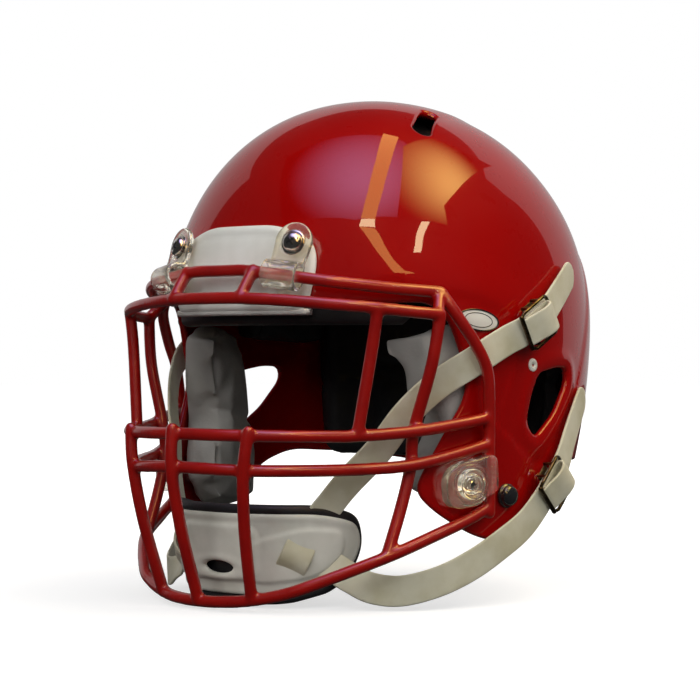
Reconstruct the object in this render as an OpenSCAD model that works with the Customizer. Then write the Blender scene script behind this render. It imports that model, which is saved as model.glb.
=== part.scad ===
// American football helmet: shell, liner, wire face cage, clips, straps and chin cup.
// Frame: the face looks along -Y, the wearer's left is +X, +Z is up. The origin is the
// middle of the head cavity, level with the ear holes. Millimetres.

/* [Shell] */
// Half of the shell's width
half_w = 111; // [108:0.5:113]
// Shell length ahead of its widest section
front_len = 113; // [111:0.5:115]
// Shell length behind its widest section
rear_len = 129; // [125:1:133]
// Y of the widest section
mid_y = -21.6; // [-23:0.2:-20]
// Height of the crown above the origin
crown_z = 139; // [136:1:142]
// Height at which the dome meets the straight side walls
belt_z = 11; // [8:1:14]
// Wall thickness of the moulded shell
wall = 3.8; // [3:0.2:4.4]
// How far the nape tapers in, as a share of the rear length
nape_in = 0.45; // [0.35:0.05:0.5]

/* [Liner] */
// Gap between the shell and the liner pads
pad_gap = 1.4; // [1.2:0.1:2]
// Thickness of the liner pads
pad_t = 19; // [14:1:22]
// Thickness of the jaw pads
jaw_pad_t = 22; // [16:1:24]

/* [Face cage] */
// Diameter of the steel wire
wire_d = 6.35; // [6:0.05:6.6]
// Bore of the top clips, wide enough for the curved wire to turn in
clip_bore_d = 11.2; // [11:0.1:11.6]

/* [Straps] */
// Width of the straps
strap_w = 16; // [15:0.5:17]
// Thickness of the straps
strap_t = 1.5; // [1.2:0.1:1.7]
// Diameter of the snap caps
snap_d = 13; // [11:0.5:14]

/* [Chin cup] */
// Half of the cup's width
cup_half_w = 60; // [56:1:62]
// Thickness of the cup's hard shell
cup_wall = 2.6; // [2:0.2:3]
// Thickness of the cup's foam pad
cup_pad_t = 7; // [5:0.5:9]

/* [Hidden] */

dome_pow = 2.13;             // roundness of the dome seen from the side
plan_pow = 2.17;             // roundness of the shell seen from above
drop_z = 107;                // depth below the origin at which the nape taper is full
wire_r = wire_d / 2;
edge_r = 5;                  // rounding of the shell's cut-outs in side view
far = 400;                   // longer than the helmet, for cutting tools

shell_red = [0.62, 0.02, 0.03];
cage_red = [0.66, 0.05, 0.03];
cream = [0.93, 0.92, 0.86];
clear_plastic = [0.88, 0.86, 0.76, 0.55];
liner_black = [0.09, 0.09, 0.10];
jaw_grey = [0.62, 0.62, 0.60];
bronze = [0.33, 0.27, 0.20];
chrome = [0.80, 0.80, 0.80];

// ---- the shell's shape -------------------------------------------------------------

function signed_pow(v, e) = (v < 0 ? -1 : 1) * pow(abs(v), e);
function nape_share(z) = z > belt_z ? 0 : pow((belt_z - z) / (belt_z + drop_z), 2);

// Point of the skin at plan angle a, for a ring of relative size r at height z
function skin_point(a, r, z, inset) =
    let (back = (rear_len - inset) * (1 - nape_in * nape_share(z)))
    [(half_w - inset) * r * signed_pow(cos(a), 2 / plan_pow),
     mid_y + (sin(a) < 0 ? front_len - inset : back) * r * signed_pow(sin(a), 2 / plan_pow),
     z];

// Heights and relative sizes of the rings: straight walls first, then the dome
wall_levels = [-128, -100, -80, -60, -40, -20, -4];
dome_steps = 13;
function ring_list(inset) = concat(
    [for (z = wall_levels) [1, z]],
    [for (i = [0 : dome_steps - 1]) let (a = 90 * i / dome_steps)
        [pow(cos(a), 2 / dome_pow), belt_z + (crown_z - inset - belt_z) * pow(sin(a), 2 / dome_pow)]]);

// Closed solid inside the skin, pulled in by inset
module skin(inset, sides) {
    rings = ring_list(inset);
    n = len(rings);
    points = concat(
        [for (g = rings) for (k = [0 : sides - 1]) skin_point(360 * k / sides, g[0], g[1], inset)],
        [[0, mid_y, crown_z - inset]]);
    polyhedron(points, concat(
        [[for (k = [0 : sides - 1]) k]],
        [for (i = [0 : n - 2]) for (k = [0 : sides - 1]) let (m = (k + 1) % sides)
            [i * sides + m, i * sides + k, (i + 1) * sides + k, (i + 1) * sides + m]],
        [for (k = [0 : sides - 1]) [(n - 1) * sides + (k + 1) % sides, (n - 1) * sides + k, n * sides]]));
}

// X of the skin where the side view shows the point (y, z)
function dome_size(z) = z <= belt_z ? 1
    : pow(1 - pow((z - belt_z) / (crown_z - belt_z), dome_pow), 1 / dome_pow);
function half_len(y, z) = y < mid_y ? front_len : rear_len * (1 - nape_in * nape_share(z));
function skin_x(y, z) = half_w * pow(
    pow(dome_size(z), plan_pow) - pow(abs(y - mid_y) / half_len(y, z), plan_pow), 1 / plan_pow);
// Angle between the outward direction and +X, in plan, at the same point
function skin_yaw(y, z) = atan2(
    (y < mid_y ? -1 : 1) * pow(abs(y - mid_y) / half_len(y, z), plan_pow - 1) / half_len(y, z),
    pow(skin_x(y, z) / half_w, plan_pow - 1) / half_w);
function skin_spot(y, z) = [skin_x(y, z), y, z];

// Children drawn on the left wall: X runs rearward along it, Y up and Z outward
module on_wall(y, z) {
    translate(skin_spot(y, z)) rotate([0, 0, skin_yaw(y, z)]) rotate([90, 0, 90]) children();
}

// Children drawn as a side view (Y, Z) and run through the whole width
module side_view() {
    rotate([90, 0, 90]) linear_extrude(far, center = true) children();
}

module rounded(r) {
    offset(r, $fn = 20) offset(-2 * r, $fn = 20) offset(r, $fn = 20) children();
}

// Outline of the shell seen from its left: brow, face opening, jaw flap, nape
module shell_outline() {
    rounded(edge_r) polygon([
        [-220, 21.5], [-86, 24.5], [-77, 14], [-68, -12], [-68.5, -24], [-80, -43], [-92, -66],
        [-93, -74], [-84, -84], [-66, -95.5], [-48, -100.5], [-38, -96], [-15, -79.5],
        [4, -66.5], [22, -60], [62, -63], [84, -71], [220, -74], [220, 220], [-220, 220]]);
}

module ear_outline() {
    rounded(3) polygon([[-16, -12.5], [2, -9.5], [14, -10], [14.5, -18], [0, -34],
        [-19, -46.5], [-27, -38.5], [-23, -25]]);
}

// Two crown vents and two rear vents, drawn from above
module vent_slots(side) {
    hull() {
        translate([side * 44, -24]) circle(5.5, $fn = 24);
        translate([side * 61, -53]) circle(7, $fn = 24);
    }
    hull() {
        translate([side * 34, 58]) circle(6, $fn = 24);
        translate([side * 51, 43]) circle(6, $fn = 24);
    }
}

// ---- sweeps -------------------------------------------------------------------------

function unit(v) = v / norm(v);
function spline(p, i, t) =
    let (n = len(p) - 1, a = p[max(i - 1, 0)], b = p[i], c = p[i + 1], d = p[min(i + 2, n)])
    0.5 * (2 * b + (c - a) * t + (2 * a - 5 * b + 4 * c - d) * t * t
        + (3 * b - a - 3 * c + d) * t * t * t);
// Smooth path through the points, with steps pieces between each two
function smooth_path(p, steps) = concat(
    [for (i = [0 : len(p) - 2]) for (k = [0 : steps - 1]) spline(p, i, k / steps)],
    [p[len(p) - 1]]);
function tangent(p, i) = unit(p[min(i + 1, len(p) - 1)] - p[max(i - 1, 0)]);

// A closed section swept along a path; out gives the section's up direction at each point
module sweep(path, section, out) {
    m = len(section);
    n = len(path);
    points = [for (i = [0 : n - 1])
        let (t = tangent(path, i), side = unit(cross(t, out[i])), up = cross(side, t))
        for (s = section) path[i] + s[0] * side + s[1] * up];
    polyhedron(points, concat(
        [[for (k = [0 : m - 1]) m - 1 - k]],
        [for (i = [0 : n - 2]) for (k = [0 : m - 1]) for (f = [0, 1]) let (j = (k + 1) % m)
            f == 0 ? [i * m + k, i * m + j, (i + 1) * m + j]
                   : [i * m + k, (i + 1) * m + j, (i + 1) * m + k]],
        [[for (k = [0 : m - 1]) (n - 1) * m + k]]));
}

function round_section(r, sides) = [for (k = [0 : sides - 1]) r * [cos(360 * k / sides), sin(360 * k / sides)]];
function flat_section(w, t) = [[-w / 2, -t / 2], [w / 2, -t / 2], [w / 2, t / 2], [-w / 2, t / 2]];

module wire(points, steps, up) {
    path = smooth_path(points, steps);
    color(cage_red) sweep(path, round_section(wire_r, 10), [for (p = path) up]);
}

// The left half of a cross wire, mirrored into a whole one
function whole(half) = concat(
    [for (i = [len(half) - 1 : -1 : 1]) [-half[i][0], half[i][1], half[i][2]]], half);

module right_side() {
    mirror([1, 0, 0]) children();
}

// ---- shell and bumpers --------------------------------------------------------------

side_clip_y = -71.5;
side_clip_z = -68.5;
top_clip_x = 40.5;
screw_z = 53;

module shell() {
    color(shell_red) resize([0, 0, 0]) difference() {
        intersection() {
            skin(0, 56);
            side_view() shell_outline();
        }
        skin(wall, 56);
        side_view() ear_outline();
        for (side = [-1, 1])
            translate([0, 0, 60]) linear_extrude(far) vent_slots(side);
        receiver_hole();
        right_side() receiver_hole();
        top_screw_hole();
        right_side() top_screw_hole();
        valve_hole();
        right_side() valve_hole();
    }
}

module valve_hole() {
    on_wall(valve_spot[0], valve_spot[1]) cylinder(h = 20, d = 5.6, center = true, $fn = 24);
}

module receiver_hole() {
    on_wall(side_clip_y, side_clip_z) cylinder(h = 30, d = 10.6, center = true, $fn = 32);
}

module top_screw_hole() {
    at_top_screw() cylinder(h = 30, d = 6, center = true, $fn = 24);
}

// A plate lying on the skin, inside a front or back view outline
module skin_plate(inner_gap, outer_gap, sides) {
    intersection() {
        difference() {
            skin(-outer_gap, sides);
            skin(-inner_gap, sides);
        }
        children();
    }
}

module brow_bumper() {
    color(cream) resize([0, 0, 0]) difference() {
        skin_plate(0.7, 4, 56) translate([0, mid_y, 0]) rotate([90, 0, 0]) linear_extrude(far)
            rounded(6) polygon([[-47, 19], [47, 19], [50, 46], [42, 60], [20, 64.5], [-20, 64.5],
                [-42, 60], [-50, 46]]);
        top_screw_hole();
        right_side() top_screw_hole();
    }
}

module rear_bumper() {
    color(liner_black) resize([0, 0, 0]) skin_plate(0.7, 3.4, 56)
        translate([0, mid_y, 0]) rotate([90, 0, 180]) linear_extrude(far)
            rounded(6) polygon([[-46, -59], [46, -59], [40, -40], [-40, -40]]);
}

// ---- liner --------------------------------------------------------------------------

module liner(thickness, sides) {
    intersection() {
        difference() {
            skin(wall + pad_gap, sides);
            skin(wall + pad_gap + thickness, sides);
        }
        children();
    }
}

module crown_pad() {
    color(liner_black) resize([0, 0, 0]) difference() {
        liner(pad_t, 32) translate([0, mid_y + 8, 70]) cylinder(h = 90, r = 62, $fn = 40);
        for (side = [-1, 1])
            translate([0, 0, 60]) linear_extrude(far) vent_slots(side);
    }
}

module front_pad() {
    color(liner_black) resize([0, 0, 0]) difference() {
        liner(pad_t, 32) translate([-64, -far, 16]) cube([128, far - 70, 69]);
        nut_recess();
        right_side() nut_recess();
    }
}

// Room in the front pad for a clip screw's nut
module nut_recess() {
    at_top_screw() translate([0, 0, -16]) cylinder(h = 20, d = 14, $fn = 24);
}

module side_pad() {
    color(liner_black) resize([0, 0, 0]) liner(pad_t, 32) intersection() {
        side_view() rounded(5) polygon([[-66, 26], [-37, 22], [-25, 3], [30, 1], [33, 40], [26, 84],
            [-64, 84]]);
        translate([40, -far / 2, 0]) cube([far, far, far]);
    }
}

module rear_pad() {
    color(liner_black) resize([0, 0, 0]) liner(pad_t, 32)
        translate([-66, 34, -60]) cube([132, far, 140]);
}

module side_pad_left() { side_pad(); }
module side_pad_right() { right_side() side_pad(); }

// Jaw pad seen from the side, from temple to jaw corner
module jaw_pad() {
    color(jaw_grey) resize([0, 0, 0]) difference() {
        liner(jaw_pad_t, 40) intersection() {
            side_view() rounded(5) polygon([[-88, 10], [-60, 19], [-40, 12], [-31, -8], [-30, -40],
                [-20, -60], [-24, -86], [-44, -95], [-66, -90], [-84, -74], [-78, -40], [-82, -18]]);
            translate([40, -far / 2, -far / 2]) cube([far, far, far]);
        }
        on_wall(side_clip_y, side_clip_z) translate([0, 0, -12]) cylinder(h = 14, d = 19, $fn = 24);
    }
}
module jaw_pad_left() { jaw_pad(); }
module jaw_pad_right() { right_side() jaw_pad(); }

// ---- face cage ----------------------------------------------------------------------
// Left halves of the cross wires and routes of the left uprights

brow_route = [[0, -145.5, 41], [18, -145.3, 40.9], [33, -143, 39.2], [48, -139.2, 37.2],
    [66, -130, 34.5], [86, -110, 31.5], [100, -86, 29.5]];
upper_route = [[0, -156, 26.6], [24, -154.5, 26.4], [50, -147.5, 25], [72, -138, 23],
    [90, -124, 21], [101, -107, 19], [106, -94, 18]];
middle_top_route = [[0, -175.5, -42.5], [24, -172.5, -42.8], [44, -164.5, -43], [63, -149.5, -43.2],
    [80, -128, -43.2], [95, -101, -41.2], [106, -80, -38], [112, -66, -35.5]];
middle_bottom_route = [[0, -176.3, -59.4], [22, -173.5, -60], [41, -165.5, -60.6],
    [61, -149, -60.6], [78, -127, -60.2], [93, -101.5, -58.5], [105, -78, -53], [112, -62, -48.5]];
chin_route = [[0, -160, -129], [17, -158.5, -128.6], [32, -154, -127], [48, -147.5, -123.5],
    [62, -139.5, -118], [88, -114.5, -104.5], [100, -91, -94.5], [108, -72, -86.5], [111.5, -61, -81]];
side_route = [[100, -86, 29.5], [106, -83, 20], [111.5, -73, 4], [113.5, -65, -10], [113, -62.5, -26],
    [111.8, -61, -48], [111.8, -61, -84]];
outer_route = [[106, -94, 18], [102, -96, -8], [91.5, -97.5, -41], [89.5, -97.5, -59],
    [88.5, -104, -80], [87.5, -114, -104]];
inner_route = [[90, -124, 21], [86.5, -124.5, 0], [80, -128, -43]];
lower_side_route = [[42.5, -168, -41], [40, -169, -60], [36.5, -164.5, -90], [32, -154.5, -127]];
lower_center_route = [[0, -179.5, -40], [0, -180, -60], [0, -173.5, -90], [0, -160.5, -129]];
tie_route = [[24, -145, 41], [24, -155, 26.5]];
end_tie_route = [[99.5, -86.5, 29], [105, -94.5, 18.5]];

vertical = [0, 0, 1];
forward = [0, -1, 0];

module brow_wire() { wire(whole(brow_route), 3, vertical); }
module upper_wire() { wire(whole(upper_route), 3, vertical); }
module middle_wire_top() { wire(whole(middle_top_route), 2, vertical); }
module middle_wire_bottom() { wire(whole(middle_bottom_route), 2, vertical); }
module chin_wire() { wire(whole(chin_route), 2, vertical); }
module side_wire_left() { wire(side_route, 2, forward); }
module side_wire_right() { right_side() side_wire_left(); }
module outer_upright_left() { wire(outer_route, 2, forward); }
module outer_upright_right() { right_side() outer_upright_left(); }
module inner_upright_left() { wire(inner_route, 2, forward); }
module inner_upright_right() { right_side() inner_upright_left(); }
module lower_upright_left() { wire(lower_side_route, 2, forward); }
module lower_upright_right() { right_side() lower_upright_left(); }
module lower_upright_center() { wire(lower_center_route, 2, forward); }
module brow_ties() {
    for (side = [0, 1]) mirror([side, 0, 0]) {
        wire(tie_route, 1, [1, 0, 0]);
        wire(end_tie_route, 1, [1, 0, 0]);
    }
}

// ---- top clips: they hold the brow wire and let the cage swing on it -----------------

hinge_y = -141.2;
hinge_z = 38.3;
clip_w = 15;
clip_ring_d = clip_bore_d + 3.6;
top_screw_y = -125.5;
top_screw_yaw = 17;          // the brow turns away from the front at the screws
top_screw_tilt = 14;         // and leans back

// Children with Z pointing out of the brow at the left screw
module at_top_screw() {
    translate([38.7, top_screw_y, screw_z]) rotate([0, 0, top_screw_yaw])
        rotate([90 - top_screw_tilt, 0, 0]) children();
}

module top_clip() {
    color(clear_plastic) difference() {
        union() {
            translate([top_clip_x - clip_w / 2, hinge_y, hinge_z]) rotate([0, 90, 0])
                cylinder(h = clip_w, d = clip_ring_d, $fn = 48);
            hull() {
                at_top_screw() translate([0, 2, 6]) cylinder(h = 2.6, d = 17, $fn = 32);
                translate([top_clip_x - clip_w / 2, hinge_y + 1.5, hinge_z + 5])
                    cube([clip_w, 3.4, 3]);
            }
        }
        translate([0, hinge_y, hinge_z]) rotate([0, 90, 0]) cylinder(h = far, d = clip_bore_d, $fn = 48);
        at_top_screw() cylinder(h = 30, d = 5.4, $fn = 32);
        at_top_screw() translate([0, 0, 8.6]) cylinder(h = 20, d = 12.4, $fn = 48);
    }
}
module top_clip_left() { top_clip(); }
module top_clip_right() { right_side() top_clip(); }

module clip_screw() {
    at_top_screw() {
        translate([0, 0, -8]) cylinder(h = 17, d = 4.8, $fn = 32);
        translate([0, 0, 8.8]) intersection() {
            cylinder(h = 3, d = 11, $fn = 48);
            translate([0, 0, -3.7]) sphere(r = 6.7, $fn = 48);
        }
    }
}
module clip_screws() {
    color(chrome) {
        clip_screw();
        right_side() clip_screw();
    }
}

module clip_nut() {
    at_top_screw() translate([0, 0, -10.4]) difference() {
        cylinder(h = 3.6, d = 10, $fn = 48);
        translate([0, 0, -1]) cylinder(h = 9, d = 4.8, $fn = 32);
    }
}
module clip_nuts() {
    color(chrome) {
        clip_nut();
        right_side() clip_nut();
    }
}

// ---- side clips: they hold the side wires and carry the release buttons --------------

wire_u = 13.6;               // where the side wire crosses the clip, rearward of its button
wire_out = 5.4;              // and how far it stands out
button_d = 16;
button_travel = 2;

module side_clip_body() {
    difference() {
        hull() {
            translate([0, 0, 2.2]) cylinder(h = 9.2, d = 27, $fn = 32);
            translate([14, 7, 3.2]) cylinder(h = 7, d = 12, $fn = 32);
            translate([14, -7, 3.2]) cylinder(h = 6, d = 12, $fn = 32);
        }
        translate([0, 0, 6]) cylinder(h = 20, d = button_d + 0.8, $fn = 48);
        translate([0, 0, -5]) cylinder(h = 20, d = 7.4, $fn = 48);
    }
}

// Straight channel for the side wire, parallel to the Z axis
module wire_channel() {
    translate([111.8, -61, side_clip_z - 20]) cylinder(h = 40, d = wire_d + 0.3, $fn = 32);
}

module side_clip() {
    color(clear_plastic) difference() {
        on_wall(side_clip_y, side_clip_z) side_clip_body();
        wire_channel();
    }
}
module side_clip_left() { side_clip(); }
module side_clip_right() { right_side() side_clip(); }

module release_button() {
    color(clear_plastic) on_wall(side_clip_y, side_clip_z) difference() {
        union() {
            translate([0, 0, 9.4]) cylinder(h = 3, d = button_d, $fn = 48);
            translate([0, 0, 2.4]) cylinder(h = 7.2, d = 6.4, $fn = 48);
        }
        translate([0, 0, 11.2]) cylinder(h = 4, d = 5, $fn = 3);
    }
}
module release_button_left() { release_button(); }
module release_button_right() { right_side() release_button(); }

spring_turns = 2;
module button_spring() {
    path = [for (k = [0 : 10 * spring_turns])
        [4.9 * cos(36 * k), 4.9 * sin(36 * k), 6.45 + 0.125 * k]];
    color(chrome) on_wall(side_clip_y, side_clip_z)
        sweep(path, round_section(0.35, 6), [for (p = path) vertical]);
}
module button_spring_left() { button_spring(); }
module button_spring_right() { right_side() button_spring(); }

module clip_receiver() {
    on_wall(side_clip_y, side_clip_z) difference() {
        union() {
            translate([0, 0, -wall - 3]) cylinder(h = 2.2, d = 15, $fn = 48);
            translate([0, 0, -wall - 1]) cylinder(h = wall + 0.8, d = 10, $fn = 48);
        }
        translate([0, 0, -10]) cylinder(h = 20, d = 7, $fn = 48);
    }
}
module clip_receivers() {
    color(chrome) {
        clip_receiver();
        right_side() clip_receiver();
    }
}

// ---- snaps, buckles and loops --------------------------------------------------------
// Each row: y, z on the wall and the strap's slope there

upper_snap = [-28, 15, 30];
lower_snap = [-14, -70, 46];
stud_h = 1.2;

module at_snap(row) {
    on_wall(row[0], row[1]) rotate([0, 0, row[2]]) children();
}

module stud() {
    translate([0, 0, 0.05]) cylinder(h = stud_h, d = 10, $fn = 40);
    translate([0, 0, stud_h - 0.2]) cylinder(h = 2.6, d = 4.6, $fn = 32);
}
module snap_studs() {
    color(chrome) for (side = [0, 1]) mirror([side, 0, 0]) {
        at_snap(upper_snap) stud();
        at_snap(lower_snap) stud();
    }
}

spare_spot = [-44, -76];
module spare_studs() {
    color(liner_black) for (side = [0, 1]) mirror([side, 0, 0])
        on_wall(spare_spot[0], spare_spot[1]) {
            cylinder(h = 2.4, d = 12, $fn = 48);
            translate([0, 0, 2.2]) intersection() {
                cylinder(h = 6, d = 11, $fn = 48);
                translate([0, 0, -1.4]) sphere(r = 6.4, $fn = 48);
            }
        }
}

module snap_cap(row) {
    color(chrome) at_snap(row) difference() {
        translate([0, 0, stud_h + 0.4]) cylinder(h = 3, d = snap_d, $fn = 48);
        cylinder(h = stud_h + 2.8, d = 5.2, $fn = 32);
    }
}
module snap_upper_left() { snap_cap(upper_snap); }
module snap_upper_right() { right_side() snap_cap(upper_snap); }
module snap_lower_left() { snap_cap(lower_snap); }
module snap_lower_right() { right_side() snap_cap(lower_snap); }

strap_out = 6.9;             // middle of the strap above the wall, over the snap cap
frame_out = 10;             // underside of the buckle's frame
frame_w = 21.4;
plate_out = 4.7;             // underside of its base plate, on the snap cap
frame_front = -13;
frame_rear = 8;

module buckle(row) {
    color(bronze) at_snap(row) {
        difference() {
            translate([frame_front, -frame_w / 2, frame_out])
                cube([frame_rear - frame_front, frame_w, 1.8]);
            translate([frame_front + 2.4, -frame_w / 2 + 2.2, frame_out - 1])
                cube([frame_rear - frame_front - 4.8, frame_w - 4.4, 4]);
        }
        for (side = [-1, 1])
            translate([-5, side * (frame_w / 2 - 1) - 1, plate_out]) cube([8, 2, frame_out - plate_out + 1]);
        translate([-5, -frame_w / 2, plate_out]) cube([8, frame_w, 0.6]);
    }
}
module buckle_upper_left() { buckle(upper_snap); }
module buckle_upper_right() { right_side() buckle(upper_snap); }
module buckle_lower_left() { buckle(lower_snap); }
module buckle_lower_right() { right_side() buckle(lower_snap); }

// Fold of strap around the buckle's rear bar
module loop_outline() {
    hull() {
        translate([-6.2, frame_out + 0.9]) circle(0.6, $fn = 24);
        translate([7, frame_out + 0.9]) circle(1.4, $fn = 24);
    }
}
module strap_loop(row) {
    color(cream) at_snap(row) rotate([90, 0, 0]) linear_extrude(strap_w, center = true)
        difference() {
            offset(strap_t) loop_outline();
            loop_outline();
        }
}
module loop_upper_left() { strap_loop(upper_snap); }
module loop_upper_right() { right_side() strap_loop(upper_snap); }
module loop_lower_left() { strap_loop(lower_snap); }
module loop_lower_right() { right_side() strap_loop(lower_snap); }

// ---- straps --------------------------------------------------------------------------
// A left strap runs free from the chin cup, then along the wall: rows of y, z and how far out

upper_free = [[53.5, -124.5, -104], [58.2, -118, -91], [65, -111, -71], [74, -104, -51],
    [84.5, -96, -33.5], [96, -84, -18]];
upper_wall = [[-66, -5.5, 4], [-48, 4.5, 4.4], [-38, 9.5, strap_out], [-28, 15, strap_out],
    [-18, 21, strap_out], [-6, 28.5, 5], [8, 37, 3.4], [19, 43.5, 3]];
lower_free = [[57, -113, -112.5], [62, -110.5, -117.5], [72, -107.5, -121.8], [85, -99, -123],
    [97, -83.5, -118.5], [106, -67, -110.5]];
lower_wall = [[-50, -100, 5], [-36, -91.5, 5.6], [-25, -81, strap_out], [-14, -70, strap_out],
    [-4, -59, strap_out], [7, -47, 5], [20, -34, 3.6], [32, -23, 3]];

function facing(y, z) = [cos(skin_yaw(y, z)), sin(skin_yaw(y, z)), 0];
function wall_route(rows) = [for (r = rows) skin_spot(r[0], r[1]) + r[2] * facing(r[0], r[1])];
// The strap faces out like the wall beside it, and like the front of the wall ahead of that
function strap_facing(p) = facing(max(p[1], -68), min(p[2], belt_z));

module strap(free, wall_rows) {
    path = smooth_path(concat(free, wall_route(wall_rows)), 2);
    color(cream) sweep(path, flat_section(strap_w, strap_t), [for (p = path) strap_facing(p)]);
}
module strap_upper_left() { strap(upper_free, upper_wall); }
module strap_upper_right() { right_side() strap_upper_left(); }
module strap_lower_left() { strap(lower_free, lower_wall); }
module strap_lower_right() { right_side() strap_lower_left(); }

// ---- chin cup ------------------------------------------------------------------------

cup_front_y = -150;
cup_depth = 52;
cup_low_z = -131;
cup_high_z = -84;

// Bowl around the chin: a superellipse in plan, narrower towards its foot
function cup_ring(z, inset, sides) =
    let (s = (z - cup_low_z) / (cup_high_z - cup_low_z), grow = 0.80 + 0.20 * pow(max(s, 0), 0.6))
    [for (k = [0 : sides]) let (a = 180 + 180 * k / sides)
        [(cup_half_w - inset) * grow * signed_pow(cos(a), 0.9),
         cup_front_y + cup_depth + (cup_depth - inset) * grow * signed_pow(sin(a), 0.9), z]];
cup_levels = [-137, -124, -110, -96, -78];

module cup_solid(inset, sides) {
    rows = [for (z = cup_levels) concat(cup_ring(z, inset, sides),
        [[cup_half_w - inset, cup_front_y + cup_depth + 12, z], [-cup_half_w + inset, cup_front_y + cup_depth + 12, z]])];
    m = len(rows[0]);
    n = len(rows);
    polyhedron([for (r = rows) for (p = r) p], concat(
        [[for (k = [0 : m - 1]) k]],
        [for (i = [0 : n - 2]) for (k = [0 : m - 1]) let (j = (k + 1) % m)
            [i * m + j, i * m + k, (i + 1) * m + k, (i + 1) * m + j]],
        [[for (k = [0 : m - 1]) n * m - 1 - k]]));
}

// Side view of the cup: wings that narrow towards their ends
module cup_outline(pull) {
    rounded(4) polygon([
        [cup_front_y - 20, -127 + pull], [-134, -127 + pull], [-112, -120 + pull], [-101, -110],
        [-98, -100], [-103, -90 - pull], [-112, -87 - pull], [-128, cup_high_z - pull],
        [cup_front_y - 20, cup_high_z - pull]]);
}

module chin_cup() {
    color(cream) resize([0, 0, 0]) difference() {
        intersection() {
            cup_solid(0, 28);
            side_view() cup_outline(0);
        }
        cup_solid(cup_wall, 28);
        translate([-14, -far, -115]) cube([28, far, 5]);
    }
}

module chin_pad() {
    color(liner_black) resize([0, 0, 0]) difference() {
        intersection() {
            cup_solid(cup_wall + 0.5, 28);
            side_view() cup_outline(-2);
        }
        cup_solid(cup_wall + 0.5 + cup_pad_t, 28);
    }
}

// ---- small trim ----------------------------------------------------------------------

valve_spot = [-23, -8];
needle_d = 1.6;              // bore for the pump's needle
module inflation_valves() {
    color(cream) for (side = [0, 1]) mirror([side, 0, 0])
        on_wall(valve_spot[0], valve_spot[1]) difference() {
            union() {
                translate([0, 0, -4.6]) cylinder(h = 5, d = 5, $fn = 40);
                translate([0, 0, 0.2]) cylinder(h = 1.4, d = 7, $fn = 40);
            }
            translate([0, 0, -3.6]) cylinder(h = 3.8, d = 3, $fn = 32);
            cylinder(h = 8, d = needle_d, $fn = 24);
        }
}

badge_spot = [-62, 15.5];
module side_badges() {
    color(cream) for (side = [0, 1]) mirror([side, 0, 0])
        on_wall(badge_spot[0], badge_spot[1]) rotate([0, 0, -8]) translate([0, 0, 0.4])
            linear_extrude(0.5) resize([26, 11]) circle(10, $fn = 40);
}

shell();
brow_bumper();
rear_bumper();
crown_pad();
front_pad();
side_pad_left();
side_pad_right();
rear_pad();
jaw_pad_left();
jaw_pad_right();
top_clip_left();
top_clip_right();
clip_screws();
clip_nuts();
side_clip_left();
side_clip_right();
release_button_left();
release_button_right();
button_spring_left();
button_spring_right();
clip_receivers();
brow_wire();
upper_wire();
middle_wire_top();
middle_wire_bottom();
chin_wire();
side_wire_left();
side_wire_right();
outer_upright_left();
outer_upright_right();
inner_upright_left();
inner_upright_right();
lower_upright_left();
lower_upright_center();
lower_upright_right();
brow_ties();
snap_studs();
spare_studs();
snap_upper_left();
snap_upper_right();
snap_lower_left();
snap_lower_right();
buckle_upper_left();
buckle_upper_right();
buckle_lower_left();
buckle_lower_right();
loop_upper_left();
loop_upper_right();
loop_lower_left();
loop_lower_right();
strap_upper_left();
strap_upper_right();
strap_lower_left();
strap_lower_right();
chin_cup();
chin_pad();
inflation_valves();
side_badges();
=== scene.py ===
"""Looks of an american football helmet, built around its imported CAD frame.

Lengths in the modelling code are millimetres, in the frame of the CAD part: the face looks
along -Y, the wearer's left is +X and +Z is up. mesh_object() turns them into metres.
"""

import math

import bmesh
import bpy
import numpy as np
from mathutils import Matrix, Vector


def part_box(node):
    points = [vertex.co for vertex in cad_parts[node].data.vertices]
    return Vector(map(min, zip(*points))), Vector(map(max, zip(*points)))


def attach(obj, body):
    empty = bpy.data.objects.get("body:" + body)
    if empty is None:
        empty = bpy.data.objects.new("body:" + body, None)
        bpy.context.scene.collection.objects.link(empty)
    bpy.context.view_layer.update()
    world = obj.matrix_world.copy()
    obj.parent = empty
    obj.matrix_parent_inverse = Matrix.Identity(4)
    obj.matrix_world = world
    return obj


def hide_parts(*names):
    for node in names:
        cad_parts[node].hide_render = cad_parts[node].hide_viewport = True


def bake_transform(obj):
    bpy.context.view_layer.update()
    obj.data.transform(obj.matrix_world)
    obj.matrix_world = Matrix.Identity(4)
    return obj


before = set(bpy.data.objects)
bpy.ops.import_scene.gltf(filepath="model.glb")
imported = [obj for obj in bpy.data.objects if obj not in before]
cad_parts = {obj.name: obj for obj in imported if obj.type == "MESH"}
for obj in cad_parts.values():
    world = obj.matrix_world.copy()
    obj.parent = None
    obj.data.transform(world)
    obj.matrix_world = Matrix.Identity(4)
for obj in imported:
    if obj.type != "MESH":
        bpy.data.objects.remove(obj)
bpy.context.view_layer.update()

MM = 0.001
DEG = math.pi / 180
SIDES = (("left", 1), ("right", -1))

# ---- the shell's driving sizes ----
HALF_W, FRONT_LEN, REAR_LEN, MID_Y = 111.0, 113.0, 129.0, -21.6
CROWN_Z, BELT_Z, DROP_Z, NAPE_IN = 139.0, 11.0, 107.0, 0.45
DOME_POW, PLAN_POW = 2.13, 2.17
WALL = 3.8
WIRE_R = 6.35 / 2
STRAP_W, STRAP_T = 16.0, 1.5
FAR = 50  # stands for a distance that no edge or seam is within
LINER_INSET = WALL + 0.9


# ---- meshes --------------------------------------------------------------------------

def linked_object(name, data):
    """A new object in the scene."""
    item = bpy.data.objects.new(name, data)
    bpy.context.scene.collection.objects.link(item)
    return item


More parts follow.
